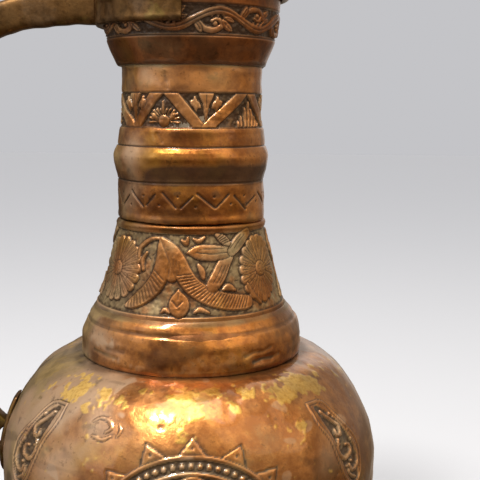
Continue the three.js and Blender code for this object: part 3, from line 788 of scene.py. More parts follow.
def foliage(skin, turn):
    """One repeat of the neck's frieze: a broad forked leaf over a bud, and a cluster of leaves."""
    put = lambda points: [(turn + p[0], *p[1:]) for p in points]
    for stroke in (
        [(-22.9, 284.5, 0.9), (-29.9, 283.9, 1.2), (-35.4, 281.2, 1.5), (-38.8, 278, 1.3), (-38.6, 273, 0.9)],
        [(-32.8, 276, 0.9), (-35.4, 271.4, 1.4), (-33.6, 266.4, 1.0)],
        [(20.2, 256.2, 0.8), (24.4, 257.4, 2.2), (28.8, 255.6, 0.9)],
        [(4.8, 270.4, 1.0), (6.9, 267.2, 1.9), (7.8, 263.4, 1.2)],
        [(1.6, 284.6, 0.8), (5.2, 283.4, 1.4), (9.4, 285.4, 0.9)],
        [(-7.0, 283.8, 0.8), (-3.8, 282.2, 1.5), (-2.6, 285.2, 0.9)],
        [(1.6, 244.8, 0.7), (5.2, 246.4, 1.6), (10.2, 244.6, 0.8)],
        [(-17.6, 244.4, 0.7), (-15.6, 246.0, 1.5), (-12.4, 244.4, 0.8)],
        [(38.6, 258, 0.9), (41.6, 252.6, 1.5), (46.8, 246.6, 1.0)],
    ):
        skin.raised(put(stroke), 0.4)
    left = [(-22.8, 284.4, 0.9), (-21.0, 279.4, 3.1), (-19.8, 272.7, 4.4), (-20.6, 265.4, 5.0),
            (-24.8, 257.8, 5.3),
            (-31.9, 251.4, 4.7), (-37.5, 247.8, 3.4), (-42.0, 245.8, 1.2)]
    right = [(-22.1, 284.4, 1.0), (-14.6, 279.1, 3.6), (-9.6, 273, 4.7), (-5.4, 265.9, 5.1),
             (1.0, 258.6, 5.1),
             (10.7, 253.0, 5.0), (22.2, 249.8, 4.8), (32, 248.5, 4.4), (36.2, 248.3, 3.8)]
    skin.raised(put([(-22.4, 282, 1.2), (-16.8, 276, 3.8), (-13.6, 268, 5.2),
                     (-12.8, 264.4, 3.8), (-12.4, 262.6, 1.4)]), 0.4)
    skin.raised(put(left), 0.5, rim=0.16)
    skin.raised(put(right), 0.5, rim=0.16)
    hatch(skin, put(left[3:]), [4.8, 4.6, 3.6, 1.4], 13, 0.3)
    hatch(skin, put(right[3:]), [4.4, 4.9, 4.8, 4.6, 3.6], 24, 0.34)
    for a, z, drop in ((-26.4, 275, 9), (-24.2, 276, 7), (-12.6, 275, 8), (-10.2, 272.4, 8), (-7.6, 270, 7),
                       (-15.4, 272, 10), (-17, 268, 8), (-22.4, 266, 6)):
        skin.engraved(put([(a, z), (a - 0.6 + 1.4 * (a > -18), z - drop)]), 0.25, 0.2, fine=0)
    skin.raised(put([(-8.2, 256.8, 0.4), (-7.8, 252.8, 3.2), (-7.4, 248.8, 6.0), (-7.2, 245.6, 4.2),
                     (-7.1, 243.2, 0.8)]), 0.55, rim=0.45)
    skin.engraved(put([(-11.4, 250.6), (-8.3, 247.4), (-5.2, 250.6)]), 0.45, 0.4, fine=0)
    skin.engraved(put([(-7.9, 254.6), (-7.8, 251.2)]), 0.35, 0.3, fine=0)
    skin.raised(put([(27.6, 274.5, 2.6), (22.8, 270.4, 3.9), (18.6, 264.4, 4.3), (14.6, 259.6, 4.0),
                     (13.6, 258.2, 3.4)]), 0.5)
    for shift in (-1.6, 1.2, 3.4):
        skin.engraved(put([(22.4 + shift, 269.6), (18.2 + shift, 263.6), (15.2 + shift, 259.8)]), 0.28, 0.28)
    skin.raised(put([(27.8, 280.6, 2.2), (23.4, 284.2, 2.6), (18.4, 286.6, 0.8)]), 0.45)
    hatch(skin, put([(27, 281.6), (23.2, 284.4), (19.4, 286.2)]), 2.2, 5, 0.4)
    skin.raised(put([(31.2, 277.4, 1.6), (24.6, 276.8, 3.4), (15.8, 276.8, 4.5), (6.6, 277.2, 4.3),
                     (0.6, 277.2, 2.2),
                     (-3.2, 277.0, 0.4)]), 0.5)
    skin.engraved(put([(26, 276.6), (14, 276.2), (3, 277)]), 0.34, 0.35)
    skin.engraved(put([(24, 278.8), (14, 279), (5.6, 278.6)]), 0.28, 0.25)
    skin.raised(put([(29.2, 276.6, 2.6), (33.4, 279.6, 3.4), (38.4, 283.0, 3.6), (45.6, 286.6, 2.8)]), 0.5)
    for shift in (-2.4, 1.0):
        skin.engraved(put([(30.6 + shift, 278.6), (36 + shift, 282.6), (42 + shift, 286)]), 0.28, 0.25)
    marks = np.random.default_rng(int(turn) + 3)
    for _ in range(26):
        a, z, lean = marks.uniform(-43, 44), marks.uniform(244, 286), marks.uniform(-1.6, 1.6)
        row = int(np.argmin(np.abs(skin.height - z)))
        column = int(((a + turn + 180) % 360) / 360 * skin.shape[1]) % skin.shape[1]
        if skin.figure[row, column] < 0.1:
            skin.engraved(put([(a - 1.0, z - lean), (a + 1.0, z + lean)]), 0.35, 0.3, fine=0)


def build_neck_flare():
    outline = np.vstack([
        [[61, 206], [59.6, 222], [58.2, 238.4]],
        spline([[57, 243.5], [53.1, 253.1], [48.8, 269.8], [45.3, 282.8]]),
        [[44.4, 287]],
        arc(43.4, 290, 1.6, -40, 50, 6),
        [[41.6, 292.4], [41.6, 302]],
    ])
    skin = Chased(outline, 0.5, 680, 4)
    skin.band(241.8, 287.4, 0.85)
    daisy(skin, (-57.8, 265), 19.6)
    daisy(skin, (53.2, 265.4), 20.6, 0.78, 20)
    daisy(skin, (174.5, 265.4), 20, 0.85, 10)
    for turn in (0, 117.5, 236):
        foliage(skin, turn)
    skin.lift += 0.12 * skin.noise(5, 10) + 0.3 * skin.noise(16, 11)
    skin.lift *= smoothstep((skin.height - 236) / 5)[:, None] * smoothstep((291 - skin.height) / 2)[:, None]
    skin.stain += 0.22 * np.clip(skin.noise(8, 15), 0, 2)
    skin.ground_grime_and_shade = 0.0
    # Painted sheen: a pale haze on the left side.
    skin.film = 0.55 * skin.side(-18, 34) * (0.8 + 0.35 * skin.noise(7, 19)) * np.ones(skin.shape)
    # Painted shade: the far left side turned darker olive.
    skin.stain += 0.5 * skin.side(-56, 16) * (0.9 + 0.3 * skin.noise(5, 26))
    # Darker at the bottom, just above the collar: partly dirt in the joint, partly painted shade.
    skin.soot = (0.55 * smoothstep((242.5 - skin.height) / 2)[:, None]
                 * np.clip(0.7 + 0.5 * skin.noise(4, 22), 0, 1))
    piece = skin.make("neck_flare_skin", inside_of(skin.profile, SHEET, 3), 0.05, skin.height_field(0.13))
    finish(piece, (FLARE_COPPER, TINNED), "copper", "jug", "neck_flare")


def build_collar():
    outline = np.vstack([
        [[66.0, 209.9], [67.3, 210.6]],
        spline([[67.7, 212.6], [67.6, 215.5], [67.2, 222], [65.8, 227.6], [63.4, 233.2]]),
        [[61.7, 235.6], [60.3, 237.2], [59.2, 238.6], [58.0, 239.8]],
    ])
    skin = Chased(outline, 0.5, 640, 5)
    skin.lift -= (0.55 * smoothstep(1.3 - np.abs(skin.height - 232.6) / 1.5))[:, None] * np.ones(skin.shape)
    for a, z, long, lean in ((35, 221.5, 8, 1.4), (40, 217, 8, 0.9), (-48, 218, 9, -0.6), (86, 219, 10, -0.8),
                             (132, 223, 8, 1.0), (176, 217, 9, 0.6), (222, 221, 8, -0.9), (262, 218, 8, 0.8)):
        skin.dent([(a - long, z - lean), (a - long / 3, z + 0.3), (a + long / 3, z - 0.4),
                   (a + long, z + lean)],
                  2.2, 0.42, 0.4)
    for a, z, wide in ((37, 216.6, 5.5), (-41, 221, 5.0), (108, 217, 6), (160, 223, 5), (-118, 218, 6)):
        skin.dent([(a - wide, z), (a + wide, z + 0.8)], 3.4, 0.55, 0.15)
    skin.lift += (0.32 * skin.streaks(3.6, 10) + 0.4 * skin.noise(17, 11) + 0.1 * skin.noise(3, 12)
                  + 0.1 * skin.streaks(1.6, 14, 7))
    skin.lift *= (smoothstep((skin.run - 0.4) / 5)[:, None]
                  * smoothstep((skin.run[-1] - skin.run) / 6)[:, None])
    skin.stain += 0.15 * np.clip(skin.noise(9, 15), 0, 2)
    # Darker olive towards both edges, where the collar meets the body and the flare.
    skin.stain += (0.2 * smoothstep((213 - skin.height) / 3)
                   + 0.4 * smoothstep((skin.height - 236) / 2))[:, None]
    # Painted shade: the far left side turned darker olive.
    skin.stain += 0.5 * skin.side(-56, 16) * (0.9 + 0.3 * skin.noise(5, 27))
    # Painted sheen: a pale haze on the left side, with random pale streaks.
    skin.film = (0.6 * skin.side(-20, 34) * (0.8 + 0.4 * skin.noise(7, 19))
                 + 0.3 * smoothstep((skin.streaks(3, 20) + 0.5 * skin.noise(1.1, 24) - 0.9) / 1.2))
    # Darker at the bottom lip on the body and at the top under the flare, partly dirt in the joints and
    # partly painted shade; dark streaks on the lower half as painted shade where the collar turns down.
    skin.soot = (0.8 * smoothstep((212.0 - skin.height) / 1.6)[:, None]
                 * np.clip(0.8 + 0.4 * skin.noise(3, 25), 0, 1)
                 + 0.3 * smoothstep((skin.streaks(2.2, 21) + 0.4 * skin.noise(1.2, 26) - 0.9) / 1.1)
                 * smoothstep((229 - skin.height) / 9)[:, None])
    skin.soot += 0.5 * smoothstep((skin.height - 236.8) / 1.6)[:, None]
    piece = skin.make("torus_collar_skin", inside_of(skin.profile, THIN_SHEET, 3))
    finish(piece, (COPPER, OLD_COPPER), "copper", "jug", "torus_collar")


TRIANGLE_TOPS = (-22.2, 47.8, 121, 193, 266)
TRIANGLE_FEET = (-51.5, 9.6, 80, 157, 229.5, 308.5)


def triangle_frieze(skin):
    """A zigzag strap across a dark band, with a ball, petals or flame leaves in its fields."""
    low, high = 346.9, 366.0
    skin.band(low, high, 1.0)
    for k, top in enumerate(TRIANGLE_TOPS):
        feet = TRIANGLE_FEET[k], TRIANGLE_FEET[k + 1]
        skin.raised([(top - 9, high + 0.6, 1.6), (top + 9, high + 0.6, 1.6)], 0.1, fine=0, rim=0)
        for foot, hand in zip(feet, (-1, 1)):
            skin.raised([(foot - hand * 1.6, low - 1.2, 3.3), (foot - hand * 5.2, low + 1.8, 3.1),
                         (top + hand * 9.4, high - 3.0, 3.3), (top + hand * 5.2, high + 0.8, 3.7)], 0.15,
                         fine=0)
        if k % 2 == 0:
            ball = (top + 0.4, low + 3.7)
            for j in range(13):
                bearing = -96 + 16 * j
                skin.raised([(*skin.polar(ball, 3.6, bearing), 0.3),
                             (*skin.polar(ball, 5.6 + 3.4 * abs(math.sin(math.radians(bearing))), bearing),
                              0.62)],
                            0.25, 0.3, fine=0, rim=0.1)
            skin.raised([(top - 0.2, low + 14.6, 0.5), (top, low + 11, 0.9), (top + 0.2, low + 7.6, 0.9)],
                        0.4)
            for hand in (-1, 1):
                skin.raised([(top + hand * 5.2, low + 4.4, 0.6), (top + hand * 7.6, low + 6.4, 1.5),
                             (top + hand * 9.4, low + 7.6, 0.5)], 0.4)
            skin.bead(*ball, 3.4, 0.9)
            continue
        for side, height, half in ((-6.6, 6.4, 1.1), (-2.2, 11.2, 1.2), (1.6, 14.4, 1.2), (5.6, 10.4, 1.2),
                                   (9.4, 6.4, 1.0), (12.6, 4.2, 0.8), (-9.6, 3.8, 0.8)):
            skin.raised([(top + side, low + 0.6, half * 0.9),
                         (top + side * 1.06 + 0.8, low + height * 0.5, half),
                         (top + side * 0.96, low + height, 0.4)], 0.5)
    for k, foot in enumerate(TRIANGLE_FEET[:-1]):
        middle = foot + 1.8
        skin.raised([(middle, high + 1.4, 4.9), (middle, high - 1.6, 3.9), (middle - 0.1, high - 5.6, 2.1),
                     (middle - 0.3, high - 10.6, 1.3), (middle - 0.4, low + 4, 0.4)], 0.4)
        skin.engraved([(middle, high - 1.0), (middle - 0.1, high - 8)], 0.32, 0.3, fine=0)
        for hand in (-1, 1):
            skin.raised([(middle + hand * 12.4, high - 4.6, 0.4), (middle + hand * 8.6, high - 6.0, 2.3),
                         (middle + hand * 4.8, high - 8.0, 0.6)], 0.35)
            skin.raised([(middle + hand * 9.0, high - 2.2, 0.5), (middle + hand * 8.6, high - 6.0, 1.6),
                         (middle + hand * 8.0, high - 9.8, 0.4)], 0.35, rim=0.1)
    skin.clear_outside(low - 0.2, high + 0.2)


def zigzag_band(skin):
    """A lightly tooled band: a broken zigzag with a few dots, uneven as cut by hand."""
    hand = np.random.default_rng(41)
    count = 13
    for k in range(count):
        a = -22.9 + 360 / count * k
        jog = hand.uniform(-1.3, 1.3, 8)
        skin.engraved([(a + jog[0], 309.6 + jog[1]), (a + 12 + jog[2], 301.2 + jog[3])], 0.85, 0.75, fine=0)
        skin.engraved([(a + 14 + jog[4], 302.2 + jog[5]), (a + 23.6 + jog[6], 308.2 + jog[7])], 0.75, 0.65,
                      fine=0)
        for da, z in ((11.8 + jog[1], 308.2), (25.8, 303.4 + jog[2])):
            skin.engraved([(a + da, z), (a + da + 0.2, z)], 0.8, 0.6, fine=0)


def build_neck_tube():
    outline = np.vstack([
        [[43.4, 292.5], [44.3, 292.9], [44.4, 294.4], [44, 314], [44.5, 317.8]],
        spline([[45.3, 321.0], [46.3, 326.4], [46.6, 329.8], [45.9, 332.6]]),
        [[44.3, 335.4], [43.9, 336.4], [43.5, 344.5], [42.4, 348], [42, 351], [42, 391]],
    ])
    skin = Chased(outline, 0.5, 600, 6)
    edge = skin.noise(3.2, 20)[:1] * 0.35 + skin.noise(9, 21)[:1] * 0.5
    skin.lift += 0.35 * smoothstep((297.5 - skin.height) / 3)[:, None] * (1 + 0.4 * edge)
    triangle_frieze(skin)
    zigzag_band(skin)
    for z in (346.7, 366.1):
        skin.ring(z, 0.55, 0.5)
    for z, size in ((315.6, 0.6), (335.9, 0.6)):
        skin.ring(z, size, 0.5)
    facets = 0.22 * skin.noise(11, 14)[:1] + 0.10 * skin.noise(5, 15)[:1]
    skin.dent([(-21, 376), (-19.4, 369)], 2.6, 0.4, 0.1)
    skin.dent([(-26, 343), (-23, 339)], 2.2, 0.35, 0.1)
    skin.lift += (0.2 * skin.noise(5, 10) + 0.36 * skin.noise(13, 11) + 0.05 * skin.noise(1.6, 12)
                  + 0.12 * skin.streaks(2, 13) + facets)
    skin.lift *= smoothstep((384 - skin.height) / 6)[:, None]
    # The sunk frieze ground darkened, partly dirt and partly painted shade.
    skin.ground_grime_and_shade = 0.75
    # Painted shade: the underside of the bulge darkened; darker at the sleeve's lower edge, partly dirt and
    # partly painted shade under the lap; random dark patches; darker patches towards the top as painted
    # shade.
    low_bulge = smoothstep((328.5 - skin.height) / 5) * smoothstep((skin.height - 313.2) / 2)
    skin.soot = (low_bulge[:, None] * (0.35 + 0.75 * smoothstep((skin.streaks(6, 22, 2) + 0.75) / 1.3))
                 + 0.5 * smoothstep((296 - skin.height) / 2.5)[:, None]
                 * smoothstep((skin.streaks(3, 23) + 0.4) / 1.2)
                 + 0.3 * smoothstep((skin.noise(3.2, 24) - 1.2) / 0.8)
                 + 0.4 * smoothstep((skin.height - 374) / 7)[:, None]
                 * smoothstep((skin.noise(7, 25) + 0.3) / 1.2))
    for a, z, size in ((17.8, 309.6, 2.6), (-31, 307.4, 1.9), (-11, 310, 1.4), (44, 303, 1.6),
                       (120, 308, 2.4),
                       (205, 305, 2)):
        where, deep = skin.reach([(a - 1, z), (a + 1.4, z + 0.3)], size)
        skin.soot[where] += 0.75 * smoothstep(deep / size + 0.3 + 0.3 * skin.noise(1.2, 28)[where])
    # Painted sheen: a pale haze on the left side.
    skin.film = 0.6 * skin.side(-14, 36) * (0.8 + 0.4 * skin.noise(7, 19)) * np.ones(skin.shape)
    # Painted shade: the far left side turned darker olive.
    skin.stain += 0.5 * skin.side(-50, 16) * (0.9 + 0.3 * skin.noise(5, 26))
    skin.stain += 0.13 * np.clip(skin.noise(8, 15), 0, 2)
    skin.stain += 0.55 * smoothstep((skin.height - 379) / 3)[:, None]
    piece = skin.make("neck_tube_skin", inside_of(skin.profile, SHEET, 4))
    finish(piece, (COPPER, TINNED), "copper", "jug", "neck_tube")


# ---------------------------------------------------------------- mouth
def scroll_frieze(skin):
    """A waving vine with curling tendrils and leaves, all round the cup."""
    low, high = 397.4, 413.0
    skin.band(low, high, 0.85)
    middle = (low + high) / 2 + 0.4
    wave = lambda a: middle + 4.6 * math.cos(math.radians(6 * (a - 17)))
    vine = [(a, wave(a), 2.2 + 0.3 * math.sin(a)) for a in range(-180, 184, 5)]
    for k in range(12):
        a = 17 + 30 * k
        up = 1 if k % 2 else -1
        put = lambda points: [(a + x, middle + up * y, w) for x, y, w in points]
        skin.raised(put([(-13.5, 1.2, 1.2), (-9.6, 5.0, 1.6), (-3.2, 6.0, 1.7), (1.8, 3.4, 1.5),
                         (-0.8, 0.2, 1.3),
                         (-4.8, 1.2, 0.9)]), 0.5)
        for lean in (-6.4, -2.4, 1.4):
            skin.leaf((a + lean, middle - up * 5.6), (a + lean + 1.6, middle - up * 0.8), 1.3, 0.3, 0,
                      middle=False)
        skin.bead(a - 2.6, middle + up * 2.6, 1.45, 0.5)
        skin.leaf((a + 2.4, middle + up * 1.0), (a + 9.2, middle + up * 6.4), 1.8, 0.4 * up, 2)
        skin.leaf((a + 3.6, middle - up * 0.6), (a + 10.2, middle + up * 1.6), 1.3, 0.3, 0)
        skin.leaf((a - 11.6, middle + up * 6.6), (a - 15.6, middle + up * 1.4), 1.6, 0.3 * up, 0)
    skin.raised(vine, 0.5)
    skin.engraved([(a, z) for a, z, _ in vine], 0.4, 0.35)


def build_mouth_cup():
    outline = np.vstack([
        [[43.2, 382.2], [43.9, 382.6]],
        spline([[44.4, 383.4], [46.0, 387.2], [48.2, 392.2], [49.9, 397.2], [51.0, 403.4]], 5),
        [[51.8, 411.5], [52.3, 419], [52.4, 423.9]],
    ])
    skin = Chased(outline, 0.45, 660, 7)
    ragged = 0.55 * skin.noise(2.2, 20)[:1] + 0.6 * skin.noise(6, 21)[:1]
    skin.lift += 0.3 * smoothstep((384.0 + ragged - skin.height[:, None]) / 1.4)
    scroll_frieze(skin)
    skin.ring(396.9, 0.6, 0.5)
    skin.ring(413.4, 0.6, 0.5)
    skin.lift += 0.14 * skin.noise(5, 10) + 0.3 * skin.noise(15, 11)
    skin.lift *= smoothstep((418 - skin.height) / 5)[:, None]
    skin.stain += 0.2 * np.clip(skin.noise(8, 15), 0, 2)
    # Painted shade: the sunk frieze ground darkened strongly, as the cup lies in shade, with some dirt.
    skin.ground_grime_and_shade = 0.85
    # Darker along the ragged lower edge, partly dirt and partly painted shade at the lap; random dark
    # streaks.
    skin.soot = (0.8 * smoothstep((384.6 + 0.8 * ragged - skin.height[:, None]) / 1.4)
                 + 0.4 * smoothstep((skin.streaks(3, 22) - 0.3) / 1.2))
    curl = np.vstack([arc(CURL_CENTRE, RIM_Z, CURL_RADIUS - SHEET, 178, -112, 16),
                      arc(CURL_CENTRE, RIM_Z, CURL_RADIUS, -112, 180, 26)])
    inner = inside_of(skin.profile[3:], SHEET, 4)
    rest = np.vstack([curl, inner[1:], [[42.5, 384.8], [42.5, 381.4]]])
    piece = skin.make("mouth_cup_skin", rest)
    finish(piece, (SHADED_CUP_COPPER, TINNED), "copper", "jug", "mouth_cup")


# ---------------------------------------------------------------- handle and clasp
HANDLE_LINE = [
    (-54, 415.1), (-72, 414.8), (-87, 413.2), (-103, 410.6), (-122, 402.5), (-141, 383), (-156, 347),
    (-162, 300), (-159, 252), (-148, 207), (-131, 174), (-110, 151),
]


def rounded(count, corner):
    """A unit square section with round corners, as (across, along) points."""
    turn = np.linspace(0, 2 * math.pi, count, endpoint=False) + math.pi / count
    power = 2 / corner
    c, s = np.cos(turn), np.sin(turn)
    return np.column_stack([np.sign(c) * np.abs(c) ** power, np.sign(s) * np.abs(s) ** power]) * 0.5


def build_handle():
    line = even(spline(HANDLE_LINE), 1.6)
    run = np.concatenate([[0], np.cumsum(np.hypot(*np.diff(line, axis=0).T))])
    t = run / run[-1]
    keep = (line[:, 0] < -55.2) & ~((line[:, 1] < 200) & (line[:, 0] > -117.2))
    depth = 19.2 - 9.2 * smoothstep((t - 0.16) / 0.46) + 2 * smoothstep((t - 0.85) / 0.15)
    width = 15 - 4 * smoothstep((t - 0.1) / 0.4)
    along = np.gradient(line, axis=0)
    along /= np.hypot(*along.T)[:, None]
    up = np.column_stack([along[:, 1], -along[:, 0]]) * -1
    section = rounded(48, 4.2)
    bumps = noise((len(line), 48), (1.6, 1.0), 2.4, 801) * 0.10 + noise((len(line), 48), (1.6, 1.0), 9,
                                                                        802) * 0.22
    top = 423.3
    rings = []
    for i in np.flatnonzero(keep):
        scale = 1 + bumps[i] / 7
        a, b = section[:, 0] * depth[i] * scale, section[:, 1] * width[i] * scale
        x = line[i, 0] + up[i, 0] * a
        z = line[i, 1] + up[i, 1] * a
        rings.append(np.column_stack([x, b, np.minimum(z, top)]))
    rings = np.array(rings)
    if (rings[0, 0] - rings[0, 12])[1] > 0:
        rings = rings[:, ::-1]
    shade = np.clip(0.18 + 0.16 * noise(rings.shape[:2], (1.6, 1.0), 4, 803), 0, 1)
    piece = capped("handle_casting", rings, {"patina": shade, "wear": np.clip(-shade + 0.3, 0, 1)})
    finish(piece, (BRASS,), "cast_brass", "jug", "handle")


CLASP_LOW_Z = 403.9
CLASP_HIGH_Z = 419.7


def build_clasp():
    low, high = CLASP_LOW_Z, CLASP_HIGH_Z
    section = np.array(list(spline([
        (52.6, low + 0.2), (54.6, low), (56.3, low + 0.5), (56.9, low + 2.4), (56.5, low + 5),
        (56.5, high - 5),
        (56.9, high - 2.4), (56.3, high - 0.4), (54.6, high), (52.9, high - 0.1), (52.8, high - 5),
        (52.4, low + 6),
    ], 4)))
    start, stop = -5.8, -174.2
    turns = np.radians(np.linspace(start, stop, 220))
    rough = noise((220, len(section)), (0.8, 1.0), 1.6, 811) * 0.1 + noise((220, len(section)), (0.8, 1.0),
                                                                           6, 812) * 0.16
    rings = []
    for i, turn in enumerate(turns):
        r = section[:, 0] + rough[i] * (section[:, 0] > 54)
        rings.append(np.column_stack([r * math.sin(turn), -r * math.cos(turn), section[:, 1]]))
    rings = np.array(rings)
    shade = np.clip(0.2 + 0.18 * noise(rings.shape[:2], (0.8, 1.0), 4, 813), 0, 1)
    piece = capped("clasp_casting", rings, {"patina": shade, "wear": np.clip(0.3 - shade, 0, 1)})
    finish(piece, (BRASS,), "cast_brass", "jug", "clasp_collar")


def belly_radius(height):
    return np.interp(height, body_outline[:, 1], body_outline[:, 0])


def build_foot_plate():
    """A leaf-shaped plate bent to the belly, with a raised rim."""
    w, h = 18.5, 26.0
    half = spline([(0.0, -h), (5.6, 3.6 - h), (13.6, 10 - h), (w, 21 - h), (16.8, 31 - h), (12.6, 41 - h),
                   (8.4, h - 1.4),
                   (7.2, h)], 10)
    outline = np.vstack([half, np.column_stack([-half[::-1, 0], half[::-1, 1]])[:-1]])
    outline = even(np.vstack([outline, outline[:1]]), 1.0)[:-1]
    gap, thick = 0.4, 2.1
    levels = [(0.02, thick * 1.05), (0.25, thick * 1.0), (0.5, thick * 0.86), (0.7, thick * 0.8),
              (0.8, thick * 0.86),
              (0.86, thick * 1.1), (0.93, thick * 1.12), (0.975, thick * 0.95), (0.998, thick * 0.6),
              (1.0, thick * 0.25),
              (0.99, 0.0), (0.7, 0.0), (0.3, 0.0), (0.02, 0.0)]
    rings = []
    for scale, lift in levels:
        y, z = outline[:, 0] * scale, PLATE_Z + outline[:, 1] * scale
        base = belly_radius(z) + gap + lift
        rings.append(np.column_stack([-np.sqrt(base**2 - y**2), y, z]))
    rings = np.array(rings)[:, ::-1]
    shade = np.clip(0.25 + 0.2 * noise(rings.shape[:2], (1.6, 1.0), 2, 821), 0, 1)
    piece = capped("foot_plate_leaf", rings, {"patina": shade, "wear": np.clip(0.3 - shade, 0, 1)})
    finish(piece, (BRASS,), "cast_brass", "jug", "handle_foot_plate")


def rivet_outline(shank, length, head, rise):
    return np.vstack([
        [[0.01, -length - 1.3], [head * 0.62, -length - 1.3], [head * 0.8, -length - 0.2], [shank, -length],
         [shank, 0], [head * 0.98, 0.02]],
        spline([(head, 0.3), (head * 0.92, rise * 0.5), (head * 0.62, rise * 0.86),
                (head * 0.25, rise * 0.99),
                (0.01, rise)], 4),
    ])


def build_rivets():
    for k, (height, side, turn) in enumerate(((150.5, 12.2, 5.6), (150.5, -12.2, -5.6), (138.0, 0.0, 0.0)),
                                             1):
        points = turned_solid(rivet_outline(2, 5.6, 3.6, 2.4), 40, 830 + k, 1.0)
        piece = grid_object(f"foot_plate_rivet_head_{k}", points, None, None, False)
        radius = BELLY_RADIUS + 2 + 1.05 - 0.4
        x = -math.sqrt(radius**2 - side**2)
        piece.data.transform(Matrix.Translation(Vector((x, side, height)) * MM)
                             @ Matrix.Rotation(math.radians(180 - turn), 4, "Z")
                             @ Matrix.Rotation(math.radians(90), 4, "Y"))
        finish(piece, (RIVET,), "rivet_copper", "jug", f"foot_plate_rivet_{k}")


# ---------------------------------------------------------------- lid
lid_line = np.vstack([
    [[58.2, LID_Z - 0.6], [57.9, LID_Z], [52.6, LID_Z], [50.2, LID_Z + 1.5]],
    [[r, LID_Z + z] for r,
     z in spline([(49.2, 5.1), (46, 12.1), (38, 20.6), (27, 27.3), (16, 32.3), (8, 36.3)])],
    [[3.4, LID_TOP_Z]],
])


def build_lid():
    outline = lid_line
    skin = Chased(outline, 0.6, 560, 9)
    run_at = lambda radius: float(np.interp(-radius, -skin.radius[5:], skin.run[5:]))
    for radius, half in ((46.6, 0.6), (24.5, 0.6), (22.6, 0.5), (10.4, 0.6)):
        level = smoothstep(1.2 - np.abs(skin.run - run_at(radius)) / half)
        skin.cut = np.maximum(skin.cut, 0.4 * level[:, None])
    heights = lambda radius: float(np.interp(run_at(radius), skin.run, skin.height))
    for k in range(16):
        angle = 22.5 * k + 11.25
        skin.engraved([(angle - 9, heights(26)), (angle, heights(43.5)), (angle + 9, heights(26))], 0.5, 0.4)
        skin.leaf((angle, heights(27.5)), (angle, heights(40)), 3.2, 0, 3, 0.4)
        skin.engraved([(angle + 11.25, heights(42)), (angle + 11.4, heights(41.6))], 0.9, 0.4, fine=0)
    skin.lift += 0.25 * skin.noise(6, 10) + 0.3 * skin.noise(16, 11)
    skin.lift *= smoothstep((skin.run - 3) / 4)[:, None] * smoothstep((skin.radius - 5) / 4)[:, None]
    skin.stain += 0.18 * np.clip(skin.noise(7, 15), 0, 2)
    piece = skin.make("lid_dome_skin", inside_of(skin.profile, THIN_SHEET, 3))
    finish(piece, (COPPER, TINNED), "copper", "lid", "lid_dome")

    z = LID_TOP_Z
    profile = np.vstack([
        [[0.01, z - 5], [3.2, z - 5], [4.2, z - 3.8], [2.6, z - 3.2], [2.6, z + 0.6], [6.8, z + 0.6]],
        spline([(7.2, z + 1.0), (6.7, z + 2.6), (4.2, z + 3.8), (3.1, z + 5.4), (3.0, z + 7), (4.4, z + 9),
                (6.6, z + 11.4),
                (7.4, z + 14.8), (6.4, z + 18.6), (3.9, z + 21.3), (2.3, z + 23.4), (1.4, z + 25.6),
                (0.4, z + 26.7)], 5),
        [[0.01, z + 26.8]],
    ])
    points = turned_solid(profile, 64, 840, 0.35)
    finish(grid_object("finial_casting", points, None, None, False), (BRASS,), "cast_brass", "lid",
           "lid_finial")


# ---------------------------------------------------------------- pieces kept from the frame
def keep(node, material, bevel=0.0):
    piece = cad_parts[node]
    piece.data.materials.clear()
    piece.data.materials.append(material)
    if bevel:
        modifier = piece.modifiers.new("soft_edges", "BEVEL")
        modifier.width = bevel * MM
        modifier.segments = 3
        modifier.limit_method = "ANGLE"
        modifier.angle_limit = math.radians(35)
        modifier.harden_normals = False
    for polygon in piece.data.polygons:
        polygon.use_smooth = True
    return piece


def carry_over():
    keep("base_plate", OLD_COPPER, 0.3)
    keep("rim_wire", IRON)
    keep("hinge_bracket", BRASS, 0.5)
    keep("hinge_pin", IRON, 0.3)
    keep("lid_strap", BRASS, 0.5)
    keep("lid_tongue", OLD_COPPER, 0.2)
    for name in ("bracket_rivet_1", "bracket_rivet_2", "strap_rivet_1", "strap_rivet_2"):
        keep(name, RIVET, 0.2)


# ---------------------------------------------------------------- camera, light and floor
CAMERA_LENS_MM = 66.3
CAMERA_PAN, CAMERA_TILT, CAMERA_ROLL = 3.18, 8.72, 0.60     # degrees


def put_camera():
    """The camera stands level with the neck, turned a little right, down and askew."""
    pan, tilt, roll = (math.radians(turn) for turn in (CAMERA_PAN, CAMERA_TILT, CAMERA_ROLL))
    forward = Vector((math.sin(pan) * math.cos(tilt), math.cos(pan) * math.cos(tilt), -math.sin(tilt)))
    right = Vector((math.cos(pan), -math.sin(pan), 0))
    up = right.cross(forward)
    across = right * math.cos(roll) + up * math.sin(roll)
    above = -right * math.sin(roll) + up * math.cos(roll)
    data = bpy.data.cameras.new("camera")
    data.sensor_width = 36
    data.lens = CAMERA_LENS_MM
    data.clip_end = 50
    camera = bpy.data.objects.new("camera", data)
    bpy.context.scene.collection.objects.link(camera)
    turn = Matrix((across, above, -forward)).transposed()
    camera.matrix_world = Matrix.Translation((0, -0.5387, 0.360)) @ turn.to_4x4()
    bpy.context.scene.camera = camera


def area(name, place, aim, size, power, colour=(1, 1, 1), size_y=None):
    data = bpy.data.lights.new(name, "AREA")
    data.shape = "RECTANGLE"
    data.size = size
    data.size_y = size_y or size
    data.energy = power
    data.color = colour
    lamp = bpy.data.objects.new(name, data)
    bpy.context.scene.collection.objects.link(lamp)
    lamp.location = place
    lamp.rotation_mode = "QUATERNION"
    lamp.rotation_quaternion = (Vector(place) - Vector(aim)).to_track_quat("Z", "Y")
    return lamp


